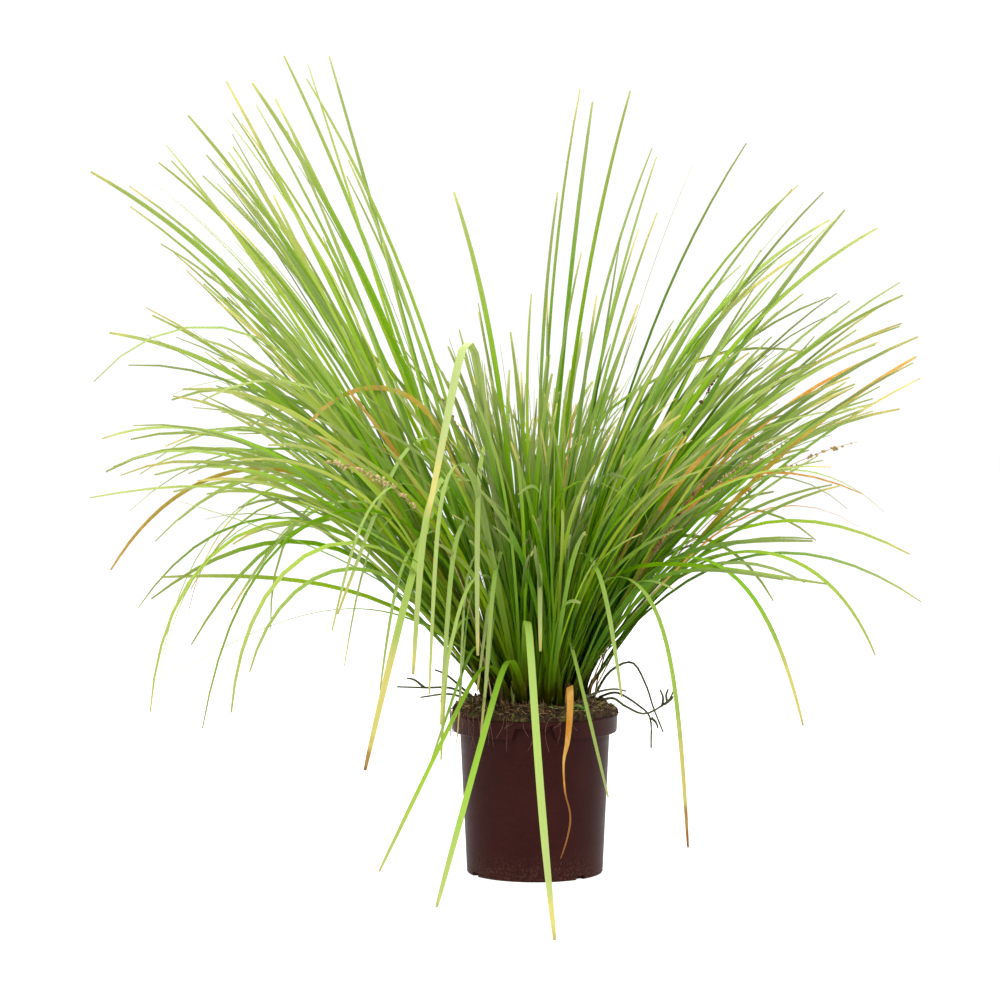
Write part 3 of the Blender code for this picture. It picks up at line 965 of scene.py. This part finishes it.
# %% [markdown]
# ## The long leaves
#
# These are the leaves that stand clear of the clump and draw its outline. Each is described by the
# same numbers as its CAD solid, and its foot and heading are read from that solid. Companions grow
# beside it, a little shorter and spread to both sides, further down where the clump is thin, as the
# table of low spreads says. A strap is seldom flat to the sky: most leaves turn over on the way, so
# each one is rolled about its own middle line, and only the hanging ones stay nearly flat. A few
# fold over on the way.

# %% The leading leaves: lean, droop, length, power, bend, width
LONG_LEAVES = (
    (15, 11, 675, 2.0, 2.0, 5.6),
    (17, 18, 672, 2.0, 2.0, 5.6),
    (20, 21, 655, 1.8, 2.0, 5.6),
    (22, 31, 648, 2.0, 2.0, 5.6),
    (24, 37, 662, 2.0, 2.0, 5.6),
    (28, 54, 570, 2.0, 2.0, 5.6),
    (34, 76, 500, 2.5, 2.0, 5.6),
    (36, 88, 530, 2.5, 2.0, 5.6),
    (37, 138, 540, 4.0, 0.64, 5.6),
    (29, 148, 630, 4.0, 0.55, 5.6),
    (31, 138, 530, 4.0, 0.66, 5.6),
    (52, 68, 405, 3.0, 0.5, 5.6),
    (5, 16, 512, 2.5, 2.0, 5.6),
    (-1, 12, 502, 2.5, 2.0, 5.6),
    (4, 12, 612, 2.0, 2.0, 5.6),
    (7, 12, 545, 2.0, 2.0, 5.6),
    (14, 48, 575, 2.0, 2.0, 5.6),
    (19, 42, 572, 2.0, 2.0, 5.6),
    (26, 46, 515, 2.0, 2.0, 5.6),
    (25, 42, 528, 2.0, 2.0, 5.6),
    (28, 106, 450, 3.5, 0.85, 5.6),
    (36, 122, 396, 3.5, 0.68, 6.0),
    (32, 132, 418, 4.5, 0.52, 6.0),
    (23, 152, 448, 5.0, 0.36, 6.4),
    (38, 103, 528, 4.0, 0.25, 7.4),
    (50, 78, 410, 5.0, 0.17, 6.6),
    (50, 80, 338, 5.0, 0.16, 6.0),
    (12, 148, 556, 12.0, 0.42, 7.4),
    (3, 153, 318, 8.0, 0.30, 6.2),
)
COMPANIONS = (5, 7, 9, 13, 22, 38, 32, 22, 4, 3, 4, 3, 2, 1, 6, 6, 13, 14, 21, 22, 5, 3, 3, 2)
USUAL_SPREAD = 1.2
LOW_SPREAD = {6: 1.16, 7: 1.14, 8: 1.14, 19: 1.5, 20: 1.7}
HANGING = {*range(9, 13), *range(21, 30)}
# How much painted sheen some leading leaves carry.
PAINTED_SHEEN = {24: 0.35, 25: 0.55, 26: 0.2, 27: 0.15, 28: 0.4, 29: 0.35, 1: 0.3, 16: 0.3, 14: 0.4}
DRY_FROM = {9: 0.9, 11: 0.8, 19: 0.86, 23: 0.88, 24: 0.8, 28: 0.84, 25: 0.97, 10: 0.94}
TURNED = {25: (-12.0, 7.0), 28: (0.0, 12.0)}  # foot moved along X in millimetres, sweep in degrees
CROWN_RADIUS = 59 * MM
MIX_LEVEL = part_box("potting_mix")[1].z


def stance(node):
    """The foot of a CAD shoot and the heading of its leading leaf, in degrees from +X."""
    points = np.array([vertex.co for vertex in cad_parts[node].data.vertices])
    in_crown = np.hypot(points[:, 0], points[:, 1]) < CROWN_RADIUS + 9 * MM
    foot = points[in_crown & (np.abs(points[:, 2] - MIX_LEVEL) < 3 * MM)].mean(axis=0)
    away = points[:, :2] - foot[:2]
    far = away[np.argmax(np.linalg.norm(away, axis=1))]
    return foot, math.degrees(math.atan2(far[1], far[0]))


def around(foot, heading, spread, count):
    """Feet of a tuft: side by side across its heading, and not quite in line."""
    side = np.array([-math.sin(heading), math.cos(heading), 0])
    out = np.array([math.cos(heading), math.sin(heading), 0])
    across = np.linspace(-spread, spread, count)
    deep = rng.normal(0, spread * 0.35, count)
    return foot + (across[:, None] * side + deep[:, None] * out) * MM


def turned_over(least=30, most=80):
    """How far a leaf is rolled, to either side."""
    return float(rng.choice((-1, 1)) * rng.uniform(least, most))


def chance(middle, spread, low, high):
    return float(np.clip(rng.normal(middle, spread), low, high))


def perhaps_folded(one, share):
    """The same leaf, or for this share of leaves one that folds over, so that its end hangs."""
    if rng.random() > share:
        return one
    fold = {"power": rng.uniform(3, 6), "bend": rng.uniform(0.6, 0.9)}
    fold["droop"] = one["droop"] + rng.uniform(30, 75)
    fold["length"] = one["length"] * 1.08
    return {**one, **fold}


def companion(lead, share, lowest):
    """A leaf beside a leading one, at a share from -1 to 1 across. Lowest limits the lean."""
    rightward_shade = math.cos(math.radians(lead["heading"]))
    one = leaf(
        lead["heading"] + share * 16 + rng.normal(0, 7),
        lead["lean"] * rng.uniform(0.75, lowest) + rng.normal(0, 2),
        lead["droop"] * rng.uniform(0.3, 1.1) + rng.normal(0, 4),
        lead["length"] * rng.uniform(0.64, 1.03),
        power=lead["power"],
        bend=lead["bend"],
        width=rng.uniform(2.7, 4.7),
        sweep=rng.normal(0, 12),
        roll=turned_over(),
        twist=rng.normal(0, 20),
        # Companions of leaves that head right get a lower tone, a darker green: painted shade on
        # the right of the clump.
        tone=chance(0.5 - 0.12 * rightward_shade, 0.22, 0, 1),
        dry=chance(1.07, 0.06, 0.7, 1.2),
        # pale: painted sheen
        pale=chance(0.18, 0.18, 0, 0.75),
        amber=1.0 if rng.random() < 0.01 else 0.0,
    )
    return perhaps_folded(one, 0.04 if lowest == USUAL_SPREAD else 0.09)


def crown_foot(one):
    """Where a leaf leaves the crown: the more it leans, the nearer the crown's edge."""
    reach = CROWN_RADIUS * max(-0.2, min(1, one["lean"] / 34))
    heading = math.radians(one["heading"])
    return np.array([reach * math.cos(heading), reach * math.sin(heading), MIX_LEVEL])


# %% Leading leaves with their companions
for number, (lean, droop, length, power, bend, width) in enumerate(LONG_LEAVES, 1):
    node = f"long_leaf_{number:02d}"
    foot, heading = stance(node)
    shift, sweep = TURNED.get(number, (0.0, 0.0))
    foot = foot + np.array([shift * MM, 0, 0])
    lead = leaf(
        heading,
        lean,
        droop,
        length,
        power=power,
        bend=bend,
        width=width,
        sweep=sweep,
        roll=turned_over(8, 24) if number in HANGING else turned_over(),
        twist=rng.uniform(-15, 15),
        tone=rng.uniform(0.5, 0.75),
        dry=DRY_FROM.get(number, 1.04),
        pale=PAINTED_SHEEN.get(number, 0.05),
    )
    tuft(f"leading_leaf_{number:02d}", fine_strap, [lead], [foot], green_leaf, node)
    if number <= len(COMPANIONS):
        beside = COMPANIONS[number - 1]
        lowest = LOW_SPREAD.get(number, USUAL_SPREAD)
        leaves = [companion(lead, share, lowest) for share in np.linspace(-1, 1, beside)]
        feet = around(foot, math.radians(heading), 6, beside)
        tuft(f"companion_leaves_{number:02d}", plain_strap, leaves, feet, green_leaf, node)

# %% [markdown]
# ## Leaves folded over the front
#
# At the front some twenty old leaves have kinked and hang down, some with a sharp fold. They are
# lighter than the rest, because light falls full on them, and they end in a straw-coloured point. A
# high power makes the fold sharp. Nine more leaves here and there are dying and orange. Each is
# placed one by one, in a table.


# %% The front leaves: heading, lean, droop, length and the columns named
def leaf_rows(rows, *columns):
    """Leaves from a table. A row may stop early, and then has the usual numbers."""
    return [leaf(*row[:4], **dict(zip(columns, row[4:]))) for row in rows]


# In these rows pale is painted sheen, for light that falls full on the front leaves.
FRONT_LEAVES = leaf_rows(
    (
        (-112, 20, 133, 574, 40, 0.66, 8.4, 0.8, 0.85, 0.95),
        (-150, 15, 142, 489, 16, 0.57, 6.0, 0.55, 0.55),
        (-113, 26, 148, 522, 12, 0.55, 6.6, 0.6, 0.75, 1.0),
        (-125, 20, 154, 468, 12, 0.55, 6.2, 0.5, 0.75, 1.0),
        (-126, 16, 158, 424, 12, 0.48, 5.6, 0.5, 0.65, 0.97),
        (-128, 14, 162, 356, 11, 0.46, 6.6, 0.6, 0.7, 0.99),
        (-124, 4, 163, 372, 14, 0.49, 5.8, 0.55, 0.65, 0.98),
        (-120, 2, 174, 274, 12, 0.38, 6.4, 0.5, 0.8, 0.98),
        (-124, 10, 160, 284, 12, 0.42, 5.6, 0.5, 0.6),
        (-30, -6, 168, 314, 9, 0.62, 4.4, 0.3, 0.5),
        (-88, 6, 166, 414, 14, 0.55, 5.6, 0.45, 0.7, 0.98),
        (-155, 20, 150, 400, 9, 0.55, 4.6, 0.45, 0.55),
        (-138, 14, 160, 300, 12, 0.42, 4.4, 0.35, 0.5),
        (-128, 30, 120, 210, 8, 0.3, 4.6, 0.2, 0.5),
        (-125, 12, 162, 500, 14, 0.55, 5.8, 0.6, 0.75, 1.0, 45),
        (-140, 24, 140, 430, 10, 0.6, 5.2, 0.5, 0.7, 1.05),
        (-146, 19, 152, 372, 9, 0.52, 5.0, 0.4, 0.6, 1.05),
        (-112, 12, 158, 330, 10, 0.5, 5.0, 0.35, 0.6, 1.05),
        (-118, 22, 138, 300, 7, 0.5, 5.2, 0.5, 0.7, 1.05),
        (-132, 26, 150, 250, 7, 0.4, 4.8, 0.3, 0.6, 1.05),
        (-62, 16, 148, 330, 8, 0.5, 4.8, 0.3, 0.55, 1.05),
        (-160, 28, 120, 420, 7, 0.6, 5.0, 0.4, 0.6, 1.0),
    ),
    *("power", "bend", "width", "pale", "tone", "dry", "sweep"),
)
AMBER_LEAVES = leaf_rows(
    (
        (-36, 24, 12, 292, 6.0, 0.85),
        (-50, 27, 12, 282, 4.4, 0.7),
        (-62, 10, 8, 296, 5.0, 0.9),
        (-24, 29, 10, 300, 5.2, 0.8),
        (-10, 34, 26, 470, 5.2, 0.7),
        (-168, 14, 128, 440, 5.4, 0.65, 8, 0.8),
        (-160, 20, 22, 345, 4.6, 0.75),
        (-152, 26, 30, 330, 4.6, 0.6),
        (-174, 31, 118, 520, 5.0, 0.6, 4, 0.7),
    ),
    *("width", "amber", "power", "bend"),
)
for one in AMBER_LEAVES:
    one["roll"] = turned_over()
for one in FRONT_LEAVES:
    one["roll"] = rng.uniform(-25, 25)
    one["twist"] = rng.uniform(-20, 20)
for name, leaves, node in (
    ("folded_front_leaves", FRONT_LEAVES, "long_leaf_28"),
    ("amber_leaves", AMBER_LEAVES, "long_leaf_27"),
):
    feet = [crown_foot(one) for one in leaves]
    tuft(name, fine_strap, leaves, feet, green_leaf, node)

# %% [markdown]
# ## The ordinary shoots
#
# Each of the other growing places bears a full shoot of twenty-seven leaves. The outer shoots lean
# and arch more, and those that face left or right are longer than those that face front or back. A
# few leaves are dying and orange, and a few fold over.


# %% Fill the clump
def shoot_leaf(heading, out):
    """A leaf of a shoot that stands from 0 to 1 of the way out from the middle of the crown."""
    sideways = abs(math.cos(math.radians(heading)))
    full = 370 + 80 * out + 70 * out * sideways
    return leaf(
        heading,
        max(1, (3 + 25 * out) * rng.uniform(0.55, 1.2)),
        (12 + 36 * out) * rng.uniform(0.4, 1.5),
        full * rng.uniform(0.42, 0.92),
        width=rng.uniform(2.8, 4.9),
        sweep=rng.normal(0, 14),
        roll=turned_over(),
        twist=rng.normal(0, 34),
        tone=chance(0.45, 0.24, 0, 1),
        dry=chance(1.08, 0.07, 0.6, 1.2),
        # pale: painted sheen on a few leaves
        pale=chance(-0.02, 0.14, 0, 0.6),
        amber=1.0 if rng.random() < 0.008 else 0.0,
    )


LEAVES_PER_SHOOT = 27
shoots = sorted(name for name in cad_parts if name.startswith("shoot"))
for number, node in enumerate(shoots, 1):
    foot, heading = stance(node)
    out = min(1.0, math.hypot(foot[0], foot[1]) / CROWN_RADIUS)
    leaves = [
        perhaps_folded(shoot_leaf(heading + rng.normal(0, 24), out), 0.07 * out)
        for _ in range(LEAVES_PER_SHOOT)
    ]
    feet = around(foot, math.radians(heading), 6, LEAVES_PER_SHOOT)
    tuft(f"shoot_leaves_{number:02d}", plain_strap, leaves, feet, green_leaf, node)

# %% [markdown]
# ## Old sheaths and litter
#
# Between the green feet of the leaves stand the stumps of old sheaths, red-brown and curled, and
# bits of dead leaf lie on the mix. They are short straps of the same kind, sunk a little, in one
# dry brown.

# %% Dead sheaths round the crown
STUMPS = 90
SUNK = 4 * MM
stumps = [
    leaf(
        rng.uniform(-180, 180),
        rng.uniform(4, 40),
        rng.uniform(-10, 50),
        rng.uniform(4, 22),
        width=rng.uniform(2.5, 4.6),
        roll=turned_over(),
        twist=rng.normal(0, 50),
    )
    for _ in range(STUMPS)
]
reaches = CROWN_RADIUS * np.sqrt(rng.uniform(0.1, 0.95, STUMPS))
headings = np.radians([one["heading"] for one in stumps])
levels = np.full(STUMPS, MIX_LEVEL - SUNK)
feet = np.stack([reaches * np.cos(headings), reaches * np.sin(headings), levels], axis=1)
old_sheath = fibre("old_sheath", (38, 20, 9), (108, 76, 42))
tuft("old_sheaths", plain_strap, stumps, feet, old_sheath, "potting_mix")

# %% [markdown]
# ## Dried flower spikes
#
# Last year's flowers stand on thin stalks among the leaves. Along the top third of a stalk sit
# little clusters of dry capsules, some dark brown and some straw. A stalk is a rod along the same
# kind of arching line as a leaf. The crumb that was modelled for the mix, stretched, is also right
# for a capsule, and is set round the stalk many times. The first four stalks stand where their CAD
# solids do.


# %% Stalks with capsules
def flower_spike(name, one, foot, beads, cluster, finish, node):
    """A stalk along a leaf's line, with capsules up to cluster millimetres off its upper part."""
    line = middle_line(one, 24) * MM + foot + np.array([0, 0, SHEATH * MM])
    stalk, faces = rods(line[None], np.linspace(0.8, 0.3, len(line)) * MM, 5)
    joined(f"{name}_stalk", stalk, faces, finish, node)
    spots = 1 - 0.36 * rng.random(beads) ** 0.9
    where = spots * (len(line) - 1)
    rows = range(len(line))
    middles = np.stack([np.interp(where, rows, line[:, axis]) for axis in range(3)], axis=1)
    away = rng.normal(size=(beads, 3))
    away /= np.linalg.norm(away, axis=1, keepdims=True)
    off = rng.uniform(0.5, cluster, beads)[:, None] * MM
    size = rng.uniform(0.9, 1.9, (beads, 1, 1)) * MM
    stretch = crumb_points[None] * np.array([1.0, 1.0, 1.5])
    points = np.einsum("nij,nkj->nki", random_turns(beads), stretch * size)
    points = points + (middles + away * off)[:, None]
    joined(f"{name}_capsules", points, crumb_faces, finish, node)


pale = fibre("pale_dry_flower", (126, 98, 54), (200, 178, 126), 0.7)
dark = fibre("dark_dry_flower", (58, 34, 20), (150, 112, 72), 0.7)
SPIKES = (  # CAD spike, heading, lean, droop, length, capsules, how far they stand off, finish
    (1, 6, 16, 16, 364, 46, 3.4, dark),
    (2, -30, 24, 18, 249, 44, 3.0, dark),
    (3, -6, 27, 50, 374, 46, 3.0, pale),
    (4, -135, 16, 70, 344, 46, 2.8, pale),
    (3, 4, 22, 42, 350, 40, 3.0, pale),
    (3, -14, 26, 36, 345, 40, 3.0, pale),
    (3, -2, 27, 44, 385, 34, 2.8, pale),
    (4, -170, 22, 34, 330, 40, 2.8, pale),
    (4, -150, 18, 62, 330, 34, 2.6, pale),
    (4, -100, 3, 22, 170, 44, 2.6, pale),
    (1, 30, 18, 30, 340, 40, 3.0, dark),
    (1, 120, 16, 40, 360, 44, 3.4, dark),
)
for index, (number, *stalk, beads, cluster, finish) in enumerate(SPIKES, 1):
    one = leaf(*stalk)
    foot, heading = stance(f"flower_spike_{number}")
    if index == number:
        one["heading"] = heading
    else:
        foot = crown_foot(one)
    flower_spike(f"spike_{index}", one, foot, beads, cluster, finish, f"flower_spike_{number}")

# %% [markdown]
# ## Wiry creeping stems
#
# Thin dark stems of some creeping weed leave the mix at the edge and wander over the rim. They are
# rods along a smooth curve through a few listed points. The curve passes through every point
# and has no corners, which is what makes wire look like stem.


# %% A smooth curve through points, and the stems
def smooth_curve(points, count):
    """A curve through the points, with the slope at each one taken from its neighbours."""
    points = np.array(points, float)
    slopes = np.gradient(points, axis=0)
    t = np.linspace(0, len(points) - 1, count)
    low = np.minimum(t.astype(int), len(points) - 2)
    f = (t - low)[:, None]
    return (
        points[low] * (2 * f**3 - 3 * f**2 + 1)
        + slopes[low] * (f**3 - 2 * f**2 + f)
        + points[low + 1] * (3 * f**2 - 2 * f**3)
        + slopes[low + 1] * (f**3 - f**2)
    )


wiry = fibre("wiry_stem", (34, 38, 14), (76, 80, 36), 0.5)
STEMS = {
    "creeping_stem_1": (
        (
            *((66, 10, 177.5), (78, 8, 182), (88, 7, 181)),
            *((106, 6, 169.5), (118, 5, 156.5), (119, 4, 126)),
        ),
        ((60, 4, 178), (76, 3, 204), (99, 2, 214), (113, 1, 192), (121, 0, 168), (131, -1, 143)),
        ((119, 5, 157), (124, 4, 152), (126, 4, 146)),
    ),
    "creeping_stem_2": (
        (
            *((67, -14, 177.5), (80, -14, 179), (92, -15, 171)),
            *((112, -16, 163.5), (134, -17, 176), (141, -18, 188)),
        ),
        ((134, -17, 176), (133, -19, 183), (135, -20, 189)),
        ((129, -17, 171), (130, -14, 180), (127, -13, 188)),
        ((131, -17, 173), (138, -15, 178), (140, -14, 181)),
        ((42, -52, 178), (60, -54, 189), (78, -55, 193), (91, -55, 191)),
    ),
    "creeping_stubs": (
        ((-60, -20, 177), (-84, -22, 190), (-112, -24, 191), (-140, -25, 192)),
        ((-62, -8, 178), (-88, -10, 201), (-102, -11, 208)),
        ((-62, -32, 177), (-86, -38, 186), (-116, -40, 183)),
        ((-112, -24, 191), (-122, -26, 199), (-130, -27, 201)),
        ((30, 64, 177), (44, 84, 186), (52, 102, 176), (56, 112, 160)),
    ),
}
for name, routes in STEMS.items():
    paths = np.stack([smooth_curve(route, 20) for route in routes]) * MM
    stems, faces = rods(paths, np.linspace(1.6, 0.9, 20) * MM, 6)
    node = "wiry_stem_1" if name.endswith("1") else "wiry_stem_2"
    joined(name, stems, faces, wiry, node)

# %% [markdown]
# ## The dry blade
#
# One dead blade hangs over the front of the rim. Its upper half is a broad orange ribbon, and the
# lower half has shrivelled to a brown thread that curls. It is a strap like the others, on a smooth
# curve through the same points as its CAD solid, and its width follows along.

# %% Hang the dry blade
DRY_BLADE = (
    ((31, -46, 177), 4.6),
    ((33, -62, 194), 5.6),
    ((34, -78, 197), 6.6),
    ((34, -86, 184), 7.0),
    ((33, -87, 162), 6.4),
    ((31, -87, 142), 5.0),
    ((27.5, -86, 123), 2.4),
    ((29, -86, 94), 1.8),
    ((33.5, -87, 76), 1.8),
    ((34, -87, 62), 1.8),
    ((30, -86, 43), 1.6),
    ((24.5, -86, 27), 1.0),
)
rings = fine_strap["rings"]
line = smooth_curve([point for point, _ in DRY_BLADE], rings)
width = smooth_curve([(width, 0) for _, width in DRY_BLADE], rings)[:, 0]
side = np.tile([1.0, 0.0, 0.0], (rings, 1))
roll = np.radians(np.linspace(28, 8, rings))
points = ribbon(fine_strap, line, side, roll, width)[None] * MM
faces = fine_strap["faces"]
piece = joined("hanging_dry_blade", points, faces, green_leaf, "dry_blade")
keep_numbers(piece, fine_strap, [leaf(0, 0, 0, 0, amber=2.0, dry=0.52)])

# %% [markdown]
# ## Seedlings in the mix
#
# A few round-leaved seedlings have come up at the right of the rim. One round leaf is modelled, as
# a disc with a dished middle, and set down in threes and fours.

# %% Round seed leaves
deselect()
bpy.ops.mesh.primitive_circle_add(vertices=10, radius=1, fill_type="NGON")
disc = bpy.context.object
with edit_mode(select_all=True):
    bpy.ops.mesh.extrude_region_move(TRANSFORM_OT_translate={"value": (0, 0, 0.12)})
    bpy.ops.mesh.inset(thickness=0.45)
    bpy.ops.transform.translate(value=(0, 0, -0.18))
    bpy.ops.mesh.select_all(action="SELECT")
    bpy.ops.mesh.normals_make_consistent(inside=False)
disc_points, disc_faces = model_points(disc)
bpy.data.objects.remove(disc)

seedling = fibre("seedling_leaf", (66, 108, 34), (130, 168, 70), 0.55)
SPROUTS = ((38, 74, 5), (46, 70, 4), (30, 77, 3), (14, 74, 2), (-40, 76, 2), (150, 70, 4))
leaves = []
for side_deg, radius, count in SPROUTS:
    side = math.radians(side_deg)
    for _ in range(count):
        x = (radius * math.sin(side) + rng.normal(0, 2.6)) * MM
        y = (-radius * math.cos(side) + rng.normal(0, 2.6)) * MM
        height = (ground(x, y) or MIX_LEVEL) + rng.uniform(1.5, 4.5) * MM
        tip_x, tip_y = rng.uniform(-0.5, 0.5, 2)
        turned = disc_points.copy()
        turned[:, 2] += turned[:, 0] * tip_x + turned[:, 1] * tip_y
        leaves.append(turned * (rng.uniform(1.8, 3.4) * MM) + np.array((x, y, height)))
joined("seedling_leaves", np.stack(leaves), disc_faces, seedling, "potting_mix")

# %% [markdown]
# ## Floor, light and camera
#
# The clump stands on a wide pale floor in an even white room, with four soft area lights: a key
# from the upper left, a weaker fill from the right, one above and one behind. The room looks white
# to the camera but lights the leaves only half as strongly, so that the lamps can model them. The
# camera looks from three metres away, a little down, with a long lens.

# %% The studio
deselect()
bpy.ops.mesh.primitive_circle_add(vertices=96, radius=14, fill_type="NGON", location=(0, 0, 0))
floor = bpy.context.object
floor.name = "floor"
floor_material, tree, shader = new_material("pale_floor")
for socket, value in (
    ("Base Color", (0.4, 0.4, 0.4, 1)),
    ("Roughness", 0.9),
    ("Specular IOR Level", 0.1),
    ("Emission Color", (1, 1, 1, 1)),
    ("Emission Strength", 0.8),
):
    shader.inputs[socket].default_value = value
floor.data.materials.append(floor_material)

world = bpy.data.worlds.new("studio")
bpy.context.scene.world = world
world.use_nodes = True
tree = world.node_tree
sight = add(tree, "LightPath").outputs["Is Camera Ray"]
strength = add(tree, "Mix", in0=sight, in2=0.5, in3=1.05).outputs[0]
tree.links.new(strength, tree.nodes["Background"].inputs["Strength"])
tree.nodes["Background"].inputs["Color"].default_value = (1, 1, 1, 1)
bpy.context.scene.view_settings.view_transform = "Standard"


def softbox(name, place, target, size, power):
    """A soft rectangular lamp that faces its target."""
    lamp = bpy.data.lights.new(name, "AREA")
    lamp.shape = "RECTANGLE"
    lamp.size, lamp.size_y = size
    lamp.energy = power
    holder = bpy.data.objects.new(name, lamp)
    holder.location = place
    holder.rotation_euler = (Vector(target) - Vector(place)).to_track_quat("-Z", "Y").to_euler()
    bpy.context.scene.collection.objects.link(holder)


softbox("key", (-1.6, -2.7, 3.0), (0, 0, 0.35), (1.8, 1.8), 170)
softbox("fill", (2.8, -1.4, 2.2), (0, 0, 0.35), (1.6, 2.0), 66)
softbox("top", (0, 0.6, 3.4), (0, 0, 0.4), (2.4, 2.4), 130)
softbox("back", (0.6, 3.0, 2.2), (0, 0, 0.4), (2.4, 1.6), 90)

SENSOR = 36
LENS = 2.951  # focal length as a share of the sensor's width
LOOKS_DOWN = 2.67
camera_data = bpy.data.cameras.new("camera")
camera_data.sensor_width = SENSOR
camera_data.lens = SENSOR * LENS
camera = bpy.data.objects.new("camera", camera_data)
camera.location = (-0.0356, -3.0, 0.52)
camera.rotation_euler = (math.radians(90 - LOOKS_DOWN), 0, 0)
bpy.context.scene.collection.objects.link(camera)
bpy.context.scene.camera = camera
